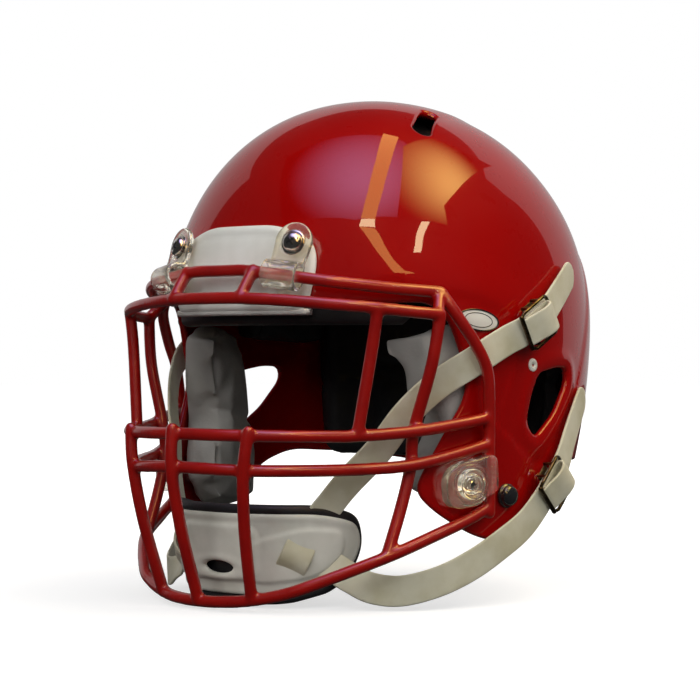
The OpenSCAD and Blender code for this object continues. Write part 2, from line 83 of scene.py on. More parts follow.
def mesh_object(name, points, faces):
    """A new smooth piece from points in millimetres."""
    mesh = bpy.data.meshes.new(name)
    mesh.from_pydata((np.asarray(points) * MM).tolist(), [], [list(map(int, f)) for f in faces])
    mesh.validate()
    mesh.update()
    piece = linked_object(name, mesh)
    mesh.shade_smooth()
    return piece


def mirror_points(points, faces, side):
    """The shape itself on the left, or its mirror image on the right."""
    if side > 0:
        return points, faces
    return np.asarray(points) * (-1, 1, 1), [tuple(reversed(f)) for f in faces]


def on_both_sides(*shapes):
    """The left-hand shapes, followed by their mirror images."""
    return [mirror_points(*shape, side) for _, side in SIDES for shape in shapes]


def join_shapes(*shapes):
    """One (points, faces) from several."""
    points, faces, start = [], [], 0
    for shape_points, shape_faces in shapes:
        points.append(np.asarray(shape_points, float))
        faces += [tuple(i + start for i in f) for f in shape_faces]
        start += len(shape_points)
    return np.concatenate(points), faces


def weld(piece, distance=0.00001):
    """Merges points that coincide and makes the faces point outwards."""
    work = bmesh.new()
    work.from_mesh(piece.data)
    bmesh.ops.remove_doubles(work, verts=work.verts, dist=distance)
    bmesh.ops.dissolve_degenerate(work, edges=work.edges, dist=distance * 0.5)
    bmesh.ops.recalc_face_normals(work, faces=work.faces)
    work.to_mesh(piece.data)
    work.free()
    piece.data.shade_smooth()
    return piece


def apply_modifiers(piece):
    """Turns what the modifiers show into the piece's own mesh."""
    graph = bpy.context.evaluated_depsgraph_get()
    shown = bpy.data.meshes.new_from_object(piece.evaluated_get(graph))
    piece.modifiers.clear()
    old, piece.data = piece.data, shown
    bpy.data.meshes.remove(old)
    return piece


def add_modifier(piece, kind, **settings):
    modifier = piece.modifiers.new(kind.lower(), kind)
    for key, value in settings.items():
        setattr(modifier, key, value)
    return modifier


def coordinates(piece):
    flat = np.zeros(len(piece.data.vertices) * 3)
    piece.data.vertices.foreach_get("co", flat)
    return flat.reshape(-1, 3) / MM


def set_coordinates(piece, points):
    piece.data.vertices.foreach_set("co", (np.asarray(points) * MM).astype(np.float32).ravel())
    piece.data.update()


def normals(piece):
    flat = np.zeros(len(piece.data.vertices) * 3)
    piece.data.vertices.foreach_get("normal", flat)
    return flat.reshape(-1, 3)


def soften(points, reach, closed=True, steps=6):
    """The outline with each corner turned into a smooth bend that reaches that far along its sides."""
    points = np.asarray(points, float)
    count, out = len(points), []
    for i, corner in enumerate(points):
        if not closed and i in (0, count - 1):
            out.append(corner)
            continue
        before, after = points[i - 1] - corner, points[(i + 1) % count] - corner
        start = corner + before * min(0.49, reach / np.linalg.norm(before))
        end = corner + after * min(0.49, reach / np.linalg.norm(after))
        for t in np.linspace(0, 1, steps + 1):
            out.append((1 - t) ** 2 * start + 2 * t * (1 - t) * corner + t * t * end)
    return np.array(out)


def spline(points, steps, closed=False):
    """Smooth path through the points, with steps pieces between each two."""
    points = np.asarray(points, float)
    count, out = len(points), []
    pick = (lambda i: points[i % count]) if closed else (lambda i: points[min(max(i, 0), count - 1)])
    for i in range(count if closed else count - 1):
        a, b, c, d = (pick(i + k) for k in (-1, 0, 1, 2))
        for t in np.arange(steps) / steps:
            out.append(0.5 * (2 * b + (c - a) * t + (2 * a - 5 * b + 4 * c - d) * t * t
                              + (3 * b - a - 3 * c + d) * t ** 3))
    if not closed:
        out.append(points[-1])
    return np.array(out)


def rounded_bar(half_w, half_h, reach):
    """Rectangle round the origin with soft corners."""
    return soften([(-half_w, -half_h), (half_w, -half_h), (half_w, half_h), (-half_w, half_h)], reach)


def unit(vectors):
    vectors = np.asarray(vectors, float)
    return vectors / np.maximum(np.linalg.norm(vectors, axis=-1, keepdims=True), 1e-12)


def level_ups(count):
    """The up direction of a sweep, the same all along it."""
    return np.tile([0, 0, 1.0], (count, 1))


def tangents(path, closed=False):
    if closed:
        return unit(np.roll(path, -1, 0) - np.roll(path, 1, 0))
    return unit(np.gradient(path, axis=0))


def lathe(profile, count=48):
    """Closed shape turned about Z from (radius, height) points; it starts and ends on the axis."""
    profile = np.asarray(profile, float)
    rings = profile[1:-1]
    angle = np.arange(count) * 2 * math.pi / count
    points = [np.column_stack([r * np.cos(angle), r * np.sin(angle), np.full(count, h)]) for r, h in rings]
    points = np.concatenate(points + [[[0, 0, profile[0][1]], [0, 0, profile[-1][1]]]])
    foot, top = len(points) - 2, len(points) - 1
    faces = []
    for k in range(count):
        m = (k + 1) % count
        faces.append((foot, m, k))
        for i in range(len(rings) - 1):
            faces.append((i * count + k, i * count + m, (i + 1) * count + m, (i + 1) * count + k))
        last = (len(rings) - 1) * count
        faces.append((top, last + k, last + m))
    return points, faces


def ring_faces(count, size, closed=False):
    """Faces between count rings of size points each, with a cap on both ends unless closed."""
    faces = []
    for i in range(count if closed else count - 1):
        n = (i + 1) % count
        for k in range(size):
            m = (k + 1) % size
            faces.append((i * size + k, i * size + m, n * size + m, n * size + k))
    if not closed:
        faces.append(tuple(reversed(range(size))))
        faces.append(tuple((count - 1) * size + k for k in range(size)))
    return faces


def sweep(path, section, ups, closed=False, widths=None):
    """The section, as (across, up) points, swept along the path; ups gives its up direction."""
    along = tangents(path, closed)
    across = unit(np.cross(along, ups))
    up = np.cross(across, along)
    widths = np.ones(len(path)) if widths is None else np.asarray(widths)
    section = np.asarray(section, float)
    rings = (path[:, None] + section[None, :, :1] * across[:, None] * widths[:, None, None]
             + section[None, :, 1:] * up[:, None])
    return rings.reshape(-1, 3), ring_faces(len(path), len(section), closed)


def tube(points, radius, steps=6, sides=20, closed=False):
    """Round tube along a smooth path, with round ends."""
    path = spline(points, steps, closed)
    along = tangents(path, closed)
    up = np.cross(along[0], [0.3, 0.5, 0.81])
    ups = []
    for t in along:
        up = unit(up - t * (up @ t))
        ups.append(up)
    angle = np.arange(sides) * 2 * math.pi / sides
    section = np.column_stack([np.cos(angle), np.sin(angle)])
    if closed:
        return sweep(path, radius * section, np.array(ups), True)
    bend = np.linspace(90, 0, 6)[:-1] * DEG
    head = [path[0] - along[0] * radius * math.sin(b) for b in bend]
    tail = [path[-1] + along[-1] * radius * math.sin(b) for b in bend[::-1]]
    share = [max(math.cos(b), 0.02) for b in bend]
    sizes = np.concatenate([share, np.ones(len(path)), share[::-1]])
    full = np.concatenate([head, path, tail])
    full_ups = np.array([ups[0]] * len(head) + ups + [ups[-1]] * len(tail))
    full_along = np.array([along[0]] * len(head) + list(along) + [along[-1]] * len(tail))
    across = unit(np.cross(full_along, full_ups))
    rings = (full[:, None] + radius * sizes[:, None, None]
             * (section[None, :, :1] * across[:, None] + section[None, :, 1:] * full_ups[:, None]))
    return rings.reshape(-1, 3), ring_faces(len(full), sides)


def surface_nets(field, low, high, step):
    """Closed mesh of the places where field is 0. The field takes points and is negative inside."""
    axes = [np.arange(a, b + step, step) for a, b in zip(low, high)]
    grid = np.stack(np.meshgrid(*axes, indexing="ij"), -1)
    value = field(grid.reshape(-1, 3)).reshape(grid.shape[:3])
    inside = value < 0
    nx, ny, nz = inside.shape

    def corner(array, i, j, k):
        return array[i:nx - 1 + i, j:ny - 1 + j, k:nz - 1 + k]

    corners = [(i, j, k) for i in (0, 1) for j in (0, 1) for k in (0, 1)]
    full = sum(corner(inside, *c).astype(int) for c in corners)
    mixed = (full > 0) & (full < 8)
    index = np.full(mixed.shape, -1)
    index[mixed] = np.arange(mixed.sum())
    total, hits = np.zeros((mixed.sum(), 3)), np.zeros(mixed.sum())
    for a in corners:
        for axis in range(3):
            if a[axis]:
                continue
            b = tuple(v + (n == axis) for n, v in enumerate(a))
            va, vb = corner(value, *a)[mixed], corner(value, *b)[mixed]
            crossed = (va < 0) != (vb < 0)
            share = (va / np.where(crossed, va - vb, 1))[:, None]
            pa, pb = corner(grid, *a)[mixed], corner(grid, *b)[mixed]
            total[crossed] += (pa + share * (pb - pa))[crossed]
            hits[crossed] += 1
    points = total / hits[:, None]
    faces = []
    for axis in range(3):
        one, two = (axis + 1) % 3, (axis + 2) % 3
        here = np.take(inside, range(inside.shape[axis] - 1), axis)
        there = np.take(inside, range(1, inside.shape[axis]), axis)
        at = np.argwhere(here != there)
        at = at[(at[:, one] > 0) & (at[:, two] > 0)]
        at = at[(at[:, one] < inside.shape[one] - 1) & (at[:, two] < inside.shape[two] - 1)]
        leaving = here[tuple(at.T)]
        ring = []
        for back_one, back_two in ((0, 0), (1, 0), (1, 1), (0, 1)):
            cell = at.copy()
            cell[:, one] -= back_one
            cell[:, two] -= back_two
            ring.append(index[tuple(cell.T)])
        ring = np.stack(ring, -1)
        ring[leaving] = ring[leaving][:, ::-1]
        faces.append(ring)
    faces = np.concatenate(faces)[:, ::-1]
    for _ in range(2):  # pulls the points onto the surface
        here = field(points)
        slope = np.stack([field(points + 0.05 * e) - here for e in np.eye(3)], -1) / 0.05
        length = np.maximum((slope ** 2).sum(-1), 0.25)
        points = points - slope * np.clip(here / length, -step, step)[:, None]
    return points, faces.tolist()


def round_min(a, b, blend):
    """Smaller of two distances, with a fillet of that size where they meet."""
    share = np.clip(0.5 + 0.5 * (b - a) / blend, 0, 1)
    return b + (a - b) * share - blend * share * (1 - share)


def slab(flat, height, low, high, edge):
    """Distance to a flat outline's distance run from low to high, with rounded edges."""
    middle, half = (low + high) / 2, (high - low) / 2
    d = np.stack([flat + edge, np.abs(height - middle) - half + edge], -1)
    return np.linalg.norm(np.maximum(d, 0), axis=-1) + np.minimum(d.max(-1), 0) - edge


def signed_distance(points, outline):
    """Distance of each flat point from a closed outline, positive inside."""
    start, end = outline, np.roll(outline, -1, 0)
    side = end - start
    length = (side ** 2).sum(-1) + 1e-12
    out = np.empty(len(points))
    for at in range(0, len(points), 20000):
        p = points[at:at + 20000]
        gap = p[:, None] - start
        share = np.clip((gap * side).sum(-1) / length, 0, 1)
        away = np.sqrt(((gap - side * share[..., None]) ** 2).sum(-1)).min(1)
        spans = (start[:, 1] > p[:, 1:]) != (end[:, 1] > p[:, 1:])
        rise = np.where(side[:, 1] == 0, 1e-12, side[:, 1])
        cross = start[:, 0] + (p[:, 1:] - start[:, 1]) * side[:, 0] / rise
        odd = (spans & (p[:, :1] < cross)).sum(1) % 2 == 1
        out[at:at + 20000] = np.where(odd, away, -away)
    return out


# ---- moulded sheets: a patch of a smooth surface, cut to an outline, with round edges ----

def surface_normals(surface, uv):
    """Outward directions of a surface given by a function of two parameters."""
    step = 0.0005
    du = surface(uv + (step, 0)) - surface(uv - (step, 0))
    dv = surface(uv + (0, step)) - surface(uv - (0, step))
    return unit(np.cross(du, dv))


def cut_at(uv, value, triangles, level, fixed):
    """Cuts the triangles along the line where value is level; fixed marks points on earlier lines."""
    for _ in range(2):  # moves points that lie almost on the line onto it
        pairs = np.concatenate([triangles[:, [0, 1]], triangles[:, [1, 2]], triangles[:, [2, 0]]])
        a, b = value[pairs[:, 0]] - level, value[pairs[:, 1]] - level
        crossed = (a * b < 0)
        pairs, a, b = pairs[crossed], a[crossed], b[crossed]
        share = a / (a - b)
        near = (share < 0.2) & ~fixed[pairs[:, 0]]
        here, there = uv[pairs[near, 0]], uv[pairs[near, 1]]
        moved, first = np.unique(pairs[near, 0], return_index=True)
        uv[moved] = (here + (there - here) * share[near, None])[first]
        value[moved], fixed[moved] = level, True
    sign = np.sign(np.where(np.abs(value - level) < 1e-9, 0, value - level)).astype(int)
    corner_sign = sign[triangles]
    split = (corner_sign.min(1) < 0) & (corner_sign.max(1) > 0)
    kept, made, extra = triangles[~split].tolist(), {}, []

    def crossing(i, j):
        key = (min(i, j), max(i, j))
        if key not in made:
            share = (level - value[key[0]]) / (value[key[1]] - value[key[0]])
            made[key] = len(uv) + len(extra)
            extra.append(uv[key[0]] + share * (uv[key[1]] - uv[key[0]]))
        return made[key]

    for triangle in triangles[split].tolist():
        signs = [sign[i] for i in triangle]
        turn = signs.index(0) if 0 in signs else signs.index(-sum(signs))  # the corner that is alone
        a, b, c = (triangle[(turn + k) % 3] for k in range(3))
        if sign[a] == 0:
            p = crossing(b, c)
            kept += [(a, b, p), (a, p, c)]
        else:
            p, q = crossing(a, b), crossing(a, c)
            kept += [(a, p, q), (p, b, c), (p, c, q)]
    if extra:
        uv = np.concatenate([uv, extra])
        value = np.concatenate([value, np.full(len(extra), level)])
        fixed = np.concatenate([fixed, np.ones(len(extra), bool)])
    return uv, value, np.array(kept), fixed


def moulded_sheet(name, surface, us, vs, field, thickness, relief=None, wrap=False):
    """A sheet on a surface, kept where field is positive; field gives the distance to its edge."""
    edge = thickness / 2
    uv = np.stack(np.meshgrid(us, vs, indexing="ij"), -1).reshape(-1, 2)
    rows, columns, triangles = len(us), len(vs), []
    for i in range(rows if wrap else rows - 1):
        n = (i + 1) % rows
        for k in range(columns - 1):
            a, b, c, d = i * columns + k, n * columns + k, n * columns + k + 1, i * columns + k + 1
            triangles += [(a, b, c), (a, c, d)] if (i + k) % 2 else [(a, b, d), (b, c, d)]
    triangles = np.array(triangles)
    if wrap:  # a seam of doubled points, so that parameters can be mixed across it
        uv = np.concatenate([uv, uv[:columns] + (us[1] - us[0] + us[-1] - us[0], 0)])
        last = (triangles >= (rows - 1) * columns).any(1) & (triangles < columns).any(1)
        seam = triangles[last]
        triangles[last] = np.where(seam < columns, seam + rows * columns, seam)
    value = field(surface(uv), surface_normals(surface, uv))
    triangles = triangles[(value[triangles] > -6).any(1)]
    fixed = np.zeros(len(uv), bool)
    for angle in (0, 32, 55, 75, 90):
        level = edge * (1 - math.cos(angle * DEG))
        uv, value, triangles, fixed = cut_at(uv, value, triangles, level, fixed)
    triangles = triangles[value[triangles].mean(1) > 0]
    used, inverse = np.unique(triangles, return_inverse=True)
    uv, value, triangles = uv[used], value[used], inverse.reshape(-1, 3)
    point, out = surface(uv), surface_normals(surface, uv)
    raised = np.zeros(len(uv)) if relief is None else relief(point, value)
    reach = np.clip(edge - value, 0, edge)
    drop = edge - np.sqrt(edge ** 2 - reach ** 2)
    outer = point + out * (raised - drop)[:, None]
    inner = point - out * (thickness - drop - 0.5 * raised)[:, None]
    faces = [tuple(t) for t in triangles] + [tuple(t[::-1] + len(uv)) for t in triangles]
    edges = np.concatenate([triangles[:, [0, 1]], triangles[:, [1, 2]], triangles[:, [2, 0]]])
    present = {tuple(e) for e in edges.tolist()}
    for a, b in edges.tolist():
        if (b, a) not in present and value[a] < 1e-6 and value[b] < 1e-6:
            faces.append((b, a, a + len(uv), b + len(uv)))
    piece = mesh_object(name, np.concatenate([outer, inner]), faces)
    return weld(piece, 0.00002)


# ---- the shell's surface --------------------------------------------------------------

def signed_pow(value, power):
    return np.sign(value) * np.abs(value) ** power


def nape_share(z):
    return np.where(z < BELT_Z, ((BELT_Z - z) / (BELT_Z + DROP_Z)) ** 2, 0)


def skin(uv):
    """Point of the shell's skin at plan angle uv[0] and climb uv[1], both in degrees; a climb
    under 0 is a depth in millimetres below the belt."""
    angle, climb = uv[:, 0] * DEG, uv[:, 1]
    dome = np.clip(climb, 0, 90) * DEG
    size = np.cos(dome) ** (2 / DOME_POW)
    z = BELT_Z + np.where(climb < 0, climb, (CROWN_Z - BELT_Z) * np.sin(dome) ** (2 / DOME_POW))
    back = REAR_LEN * (1 - NAPE_IN * nape_share(z))
    length = np.where(np.sin(angle) < 0, FRONT_LEN, back)
    return np.column_stack([HALF_W * size * signed_pow(np.cos(angle), 2 / PLAN_POW),
                            MID_Y + length * size * signed_pow(np.sin(angle), 2 / PLAN_POW), z])


def dome_size(z):
    rise = np.clip((np.asarray(z, float) - BELT_Z) / (CROWN_Z - BELT_Z), 0, 1)
    return (1 - rise ** DOME_POW) ** (1 / DOME_POW)


def half_len(y, z):
    return np.where(np.asarray(y) < MID_Y, FRONT_LEN, REAR_LEN * (1 - NAPE_IN * nape_share(z)))


def skin_x(y, z):
    """X of the left wall where the side view shows (y, z)."""
    share = np.abs(np.asarray(y) - MID_Y) / half_len(y, z)
    return HALF_W * np.maximum(dome_size(z) ** PLAN_POW - share ** PLAN_POW, 0) ** (1 / PLAN_POW)


def skin_yaw(y, z):
    share = np.abs(np.asarray(y) - MID_Y) / half_len(y, z)
    return np.arctan2(np.where(np.asarray(y) < MID_Y, -1, 1) * share ** (PLAN_POW - 1) / half_len(y, z),
                      (skin_x(y, z) / HALF_W) ** (PLAN_POW - 1) / HALF_W)


def facing(y, z):
    yaw = skin_yaw(y, z)
    return np.stack([np.cos(yaw), np.sin(yaw), np.zeros_like(yaw)], -1)


def on_wall(y, z, slope=0.0):
    """Origin and axes of a place on the left wall: X rearward, Y up and Z outward, turned by slope."""
    yaw, turn = float(skin_yaw(y, z)), slope * DEG
    rear, up = np.array([-math.sin(yaw), math.cos(yaw), 0]), np.array([0, 0, 1.0])
    out = np.array([math.cos(yaw), math.sin(yaw), 0])
    axes = np.array([rear * math.cos(turn) + up * math.sin(turn),
                     up * math.cos(turn) - rear * math.sin(turn), out])
    return np.array([float(skin_x(y, z)), y, z]), axes


def placed(shape, place):
    """A shape drawn at the origin, moved to a place."""
    origin, axes = place
    return np.asarray(shape[0]) @ axes + origin, shape[1]


def to_local(points, place):
    origin, axes = place
    return (points - origin) @ axes.T


def flat_field(distance, columns):
    """A field from the distance in a side, front or top view, true along the surface."""
    def field(points, out):
        flat = points[:, columns]
        here = distance(flat)
        slope = np.stack([distance(flat + (0.2, 0)) - here, distance(flat + (0, 0.2)) - here], -1) / 0.2
        lean = (unit(slope) * out[:, columns]).sum(-1)
        return here / np.sqrt(np.maximum(1 - lean ** 2, 0.12))
    return field


# ---- materials ------------------------------------------------------------------------

def new_material(name, color, roughness, **settings):
    """A principled material. Underscores in a setting's name stand for spaces."""
    material = bpy.data.materials.new(name)
    material.use_nodes = True
    shader = material.node_tree.nodes["Principled BSDF"]
    shader.inputs["Base Color"].default_value = (*color, 1)
    shader.inputs["Roughness"].default_value = roughness
    for key, value in settings.items():
        shader.inputs[key.replace("_", " ")].default_value = value
    return material


def shader_of(material):
    return material.node_tree.nodes["Principled BSDF"]


def join_sockets(material, source, target):
    material.node_tree.links.new(source, target)


def texture(material, kind, scale, stretch=(1, 1, 1), **settings):
    """A procedural texture in the frame's own coordinates; scale is in features per metre."""
    nodes = material.node_tree.nodes
    place, mapping = nodes.new("ShaderNodeTexCoord"), nodes.new("ShaderNodeMapping")
    mapping.inputs["Scale"].default_value = stretch
    made = nodes.new(kind)
    made.inputs["Scale"].default_value = scale
    for key, value in settings.items():
        made.inputs[key].default_value = value
    join_sockets(material, place.outputs["Object"], mapping.inputs["Vector"])
    join_sockets(material, mapping.outputs["Vector"], made.inputs["Vector"])
    return made


def vary_color(material, source, dark, light, low=0.35, high=0.65):
    """Base colour from a texture: dark where it is under low, light where it is over high."""
    ramp = material.node_tree.nodes.new("ShaderNodeValToRGB")
    for element, place, color in zip(ramp.color_ramp.elements, (low, high), (dark, light)):
        element.position, element.color = place, (*color, 1)
    join_sockets(material, source, ramp.inputs["Fac"])
    join_sockets(material, ramp.outputs["Color"], shader_of(material).inputs["Base Color"])


def vary_roughness(material, source, low, high):
    span = material.node_tree.nodes.new("ShaderNodeMapRange")
    span.inputs["To Min"].default_value, span.inputs["To Max"].default_value = low, high
    join_sockets(material, source, span.inputs["Value"])
    join_sockets(material, span.outputs["Result"], shader_of(material).inputs["Roughness"])


def add_bump(material, source, depth, strength=1.0, coat=False):
    """Bump of that depth in millimetres, on top of any earlier one."""
    made = material.node_tree.nodes.new("ShaderNodeBump")
    made.inputs["Distance"].default_value, made.inputs["Strength"].default_value = depth * MM, strength
    join_sockets(material, source, made.inputs["Height"])
    target = shader_of(material).inputs["Normal"]
    if target.links:
        join_sockets(material, target.links[0].from_socket, made.inputs["Normal"])
    join_sockets(material, made.outputs["Normal"], target)
    if coat:
        join_sockets(material, made.outputs["Normal"], shader_of(material).inputs["Coat Normal"])


def shell_material():
    """Deep red moulded plastic under a clear gloss, with faint mottling and orange peel."""
    red = new_material("shell_gloss", (0.34, 0.0015, 0.001), 0.3, Coat_Weight=1.0, Coat_Roughness=0.02,
                       Coat_IOR=1.5, Specular_IOR_Level=0.03)
    mottle = texture(red, "ShaderNodeTexNoise", 14, Detail=1)
    vary_color(red, mottle.outputs["Fac"], (0.32, 0.0012, 0.0009), (0.36, 0.0018, 0.0012))
    wear = texture(red, "ShaderNodeTexNoise", 90, Detail=6)
    vary_roughness(red, wear.outputs["Fac"], 0.22, 0.36)
    peel = texture(red, "ShaderNodeTexNoise", 160, Detail=0)
    add_bump(red, peel.outputs["Fac"], 0.02, 0.03, coat=True)
    return red


def cage_material():
    """Thick red vinyl dip on steel wire: soft gloss, slightly lumpy."""
    red = new_material("cage_coat", (0.34, 0.003, 0.001), 0.3, Coat_Weight=0.8, Coat_Roughness=0.08)
    mottle = texture(red, "ShaderNodeTexNoise", 60, Detail=3)
    vary_color(red, mottle.outputs["Fac"], (0.30, 0.002, 0.001), (0.37, 0.004, 0.0015))
    lumps = texture(red, "ShaderNodeTexNoise", 240, Detail=1)
    add_bump(red, lumps.outputs["Fac"], 0.08, 0.12, coat=True)
    fine = texture(red, "ShaderNodeTexNoise", 1800, Detail=2)
    vary_roughness(red, fine.outputs["Fac"], 0.24, 0.36)
    return red


def moulded_material(name, dark, light, roughness, grain=1500, depth=0.05, **settings):
    """Moulded plastic or vinyl with a fine grain and slight colour variation."""
    made = new_material(name, light, roughness, **settings)
    mottle = texture(made, "ShaderNodeTexNoise", 45, Detail=5)
    vary_color(made, mottle.outputs["Fac"], dark, light)
    fine = texture(made, "ShaderNodeTexNoise", grain, Detail=3)
    vary_roughness(made, fine.outputs["Fac"], roughness * 0.8, min(1, roughness * 1.25))
    add_bump(made, fine.outputs["Fac"], depth, 0.5)
    return made


def vinyl_material(name, dark, light, roughness, cell=900):
    """Leather-like pad cover: small creased cells over soft wrinkles."""
    made = new_material(name, light, roughness)
    mottle = texture(made, "ShaderNodeTexNoise", 30, Detail=6)
    vary_color(made, mottle.outputs["Fac"], dark, light)
    cells = texture(made, "ShaderNodeTexVoronoi", cell)
    add_bump(made, cells.outputs["Distance"], 0.18, 0.5)
    folds = texture(made, "ShaderNodeTexNoise", 70, Detail=5, Distortion=0.6)
    add_bump(made, folds.outputs["Fac"], 0.8, 0.35)
    vary_roughness(made, mottle.outputs["Fac"], roughness * 0.85, min(1, roughness * 1.15))
    return made


def clear_material():
    """Clear polycarbonate, slightly yellowed, with faint flow lines."""
    clear = new_material("clear_plastic", (0.93, 0.90, 0.78), 0.06, Transmission_Weight=0.94, IOR=1.49,
                         Coat_Weight=0.3, Coat_Roughness=0.05)
    haze = texture(clear, "ShaderNodeTexNoise", 120, Detail=4)
    vary_color(clear, haze.outputs["Fac"], (0.86, 0.82, 0.66), (0.96, 0.94, 0.86))
    vary_roughness(clear, haze.outputs["Fac"], 0.03, 0.16)
    flow = texture(clear, "ShaderNodeTexNoise", 200, (1, 1, 0.3), Detail=2)
    add_bump(clear, flow.outputs["Fac"], 0.15, 0.2)
    return clear


def metal_material(name, dark, light, roughness, metallic=1.0):
    """Plated metal with fine rubbing marks."""
    made = new_material(name, light, roughness, Metallic=metallic)
    tarnish = texture(made, "ShaderNodeTexNoise", 180, Detail=6)
    vary_color(made, tarnish.outputs["Fac"], dark, light)
    rub = texture(made, "ShaderNodeTexNoise", 900, (1, 1, 6), Detail=4)
    vary_roughness(made, rub.outputs["Fac"], roughness * 0.6, roughness * 1.5)
    add_bump(made, rub.outputs["Fac"], 0.02, 0.4)
    return made


def strap_material():
    """Cream vinyl over webbing: fine crossed ribs, with stains of uneven tone and roughness."""
    cream = new_material("strap_vinyl", (0.70, 0.66, 0.46), 0.5, Sheen_Weight=0.15)
    nodes = cream.node_tree.nodes
    ribbon = nodes.new("ShaderNodeUVMap")
    ribbon.uv_map = "ribbon"
    ribs = []
    for direction, scale in (("X", 2.6), ("Y", 2.2)):
        wave = nodes.new("ShaderNodeTexWave")
        wave.bands_direction = direction
        wave.inputs["Scale"].default_value = scale
        wave.inputs["Distortion"].default_value = 0.6
        join_sockets(cream, ribbon.outputs["UV"], wave.inputs["Vector"])
        ribs.append(wave)
    add_bump(cream, ribs[0].outputs["Fac"], 0.06, 0.5)
    add_bump(cream, ribs[1].outputs["Fac"], 0.06, 0.5)
    stain = texture(cream, "ShaderNodeTexNoise", 55, Detail=6)
    vary_color(cream, stain.outputs["Fac"], (0.60, 0.56, 0.37), (0.74, 0.71, 0.54), 0.3, 0.6)
    vary_roughness(cream, stain.outputs["Fac"], 0.4, 0.6)
    return cream


MATERIALS = {
    "shell_gloss": shell_material(),
    "cage_coat": cage_material(),
    "clear_plastic": clear_material(),
    "strap_vinyl": strap_material(),
    "chrome": metal_material("chrome", (0.55, 0.53, 0.49), (0.86, 0.85, 0.82), 0.16),
    "bronze_wire": metal_material("bronze_wire", (0.06, 0.045, 0.025), (0.20, 0.16, 0.10), 0.28),
    "bumper_white": moulded_material("bumper_white", (0.76, 0.76, 0.70), (0.86, 0.86, 0.81), 0.38, 900, 0.06),
    "cup_white": moulded_material("cup_white", (0.66, 0.65, 0.56), (0.80, 0.79, 0.70), 0.34, 1200, 0.05),
    "trim_white": moulded_material("trim_white", (0.74, 0.72, 0.62), (0.84, 0.82, 0.74), 0.45),
    "black_stud": moulded_material("black_stud", (0.008, 0.008, 0.009), (0.016, 0.016, 0.018), 0.16,
                                   700, 0.02, Coat_Weight=1.0, Coat_Roughness=0.05),
    "liner_black": vinyl_material("liner_black", (0.010, 0.010, 0.011), (0.022, 0.022, 0.024), 0.48),
    "jaw_grey": vinyl_material("jaw_grey", (0.30, 0.29, 0.27), (0.44, 0.43, 0.40), 0.52, 700),
}


def finish_piece(piece, body, slot, *nodes, padding=None):
    """Gives a piece its material, its body and the CAD nodes that it stands for."""
    piece.data.materials.clear()
    piece.data.materials.append(MATERIALS[slot])
    if body:
        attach(piece, body)
    if nodes:
        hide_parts(*nodes)
    return piece


# ---- shell, bumpers, badges -----------------------------------------------------------

SHELL_OUTLINE = soften([
    (-220, 21.5), (-86, 24.5), (-77, 14), (-68, -12), (-68.5, -24), (-80, -43), (-92, -66),
    (-93, -74), (-84, -84), (-66, -95.5), (-48, -100.5), (-38, -96), (-15, -79.5),
    (4, -66.5), (22, -60), (62, -63), (84, -71), (220, -74), (220, 220), (-220, 220)], 8)
EAR_OUTLINE = soften([(-16, -12.5), (2, -9.5), (14, -10), (14.5, -18), (0, -34), (-19, -46.5),
                      (-27, -38.5), (-23, -25)], 5)
CROWN_VENT = ((46, -28.5, 4.2), (58.5, -50, 5.0))
REAR_VENT = ((34, 58, 6), (51, 43, 6))
TOP_SCREW = np.array([38.7, -125.5, 53])
SIDE_CLIP = (-71.5, -68.5)
VALVE_SPOT = (-23, -8)
BADGE_SPOT = (-62, 15.5)
SPARE_SPOT = (-44, -76)
UPPER_SNAP, LOWER_SNAP = (-28, 15, 30), (-14, -70, 46)


def pill(points, start, end):
    """Distance from a slot drawn between two discs (x, y, radius), positive outside."""
    a, b = np.array(start[:2], float), np.array(end[:2], float)
    share = np.clip(((points - a) @ (b - a)) / ((b - a) @ (b - a)), 0, 1)
    radius = start[2] + (end[2] - start[2]) * share
    return np.linalg.norm(points - a - share[:, None] * (b - a), axis=-1) - radius


def shell_field(points, out):
    """Distance from a place on the skin to the nearest edge of the shell."""
    side_view = flat_field(lambda flat: signed_distance(flat, SHELL_OUTLINE), [1, 2])(points, out)
    ear = flat_field(lambda flat: -signed_distance(flat, EAR_OUTLINE), [1, 2])(points, out)
    top_view = np.column_stack([np.abs(points[:, 0]), points[:, 1]])
    vents = np.minimum(pill(top_view, *CROWN_VENT), pill(top_view, *REAR_VENT))
    slope = np.maximum(np.abs(out[:, 2]), 0.5)
    vents = np.where(points[:, 2] > 60, vents / np.sqrt(slope), FAR)
    return np.minimum(np.minimum(side_view, ear), vents)


def ease(value, low, high):
    """0 under low and 1 over high, with a smooth rise between them."""
    share = np.clip((value - low) / (high - low), 0, 1)
    return share * share * (3 - 2 * share)


def line_gap(flat, route):
    """Distance of flat points from an open route, and which side of it they are on."""
    best, side = np.full(len(flat), 1e9), np.zeros(len(flat))
    for a, b in zip(route[:-1], route[1:]):
        along = b - a
        share = np.clip(((flat - a) @ along) / (along @ along), 0, 1)
        gap = flat - a - share[:, None] * along
        away = np.linalg.norm(gap, axis=-1)
        nearer = away < best
        best = np.where(nearer, away, best)
        side = np.where(nearer, np.sign(along[0] * gap[:, 1] - along[1] * gap[:, 0]), side)
    return best, side


TEMPLE_CREASE = spline([(-95, 34), (-78, 30), (-58, 25), (-44, 17), (-38, 2), (-42, -16), (-50, -34)], 6)
EAR_CREASE = spline([(-34, -52), (-18, -62), (0, -50), (18, -32), (34, -8), (50, 22), (70, 60)], 6)


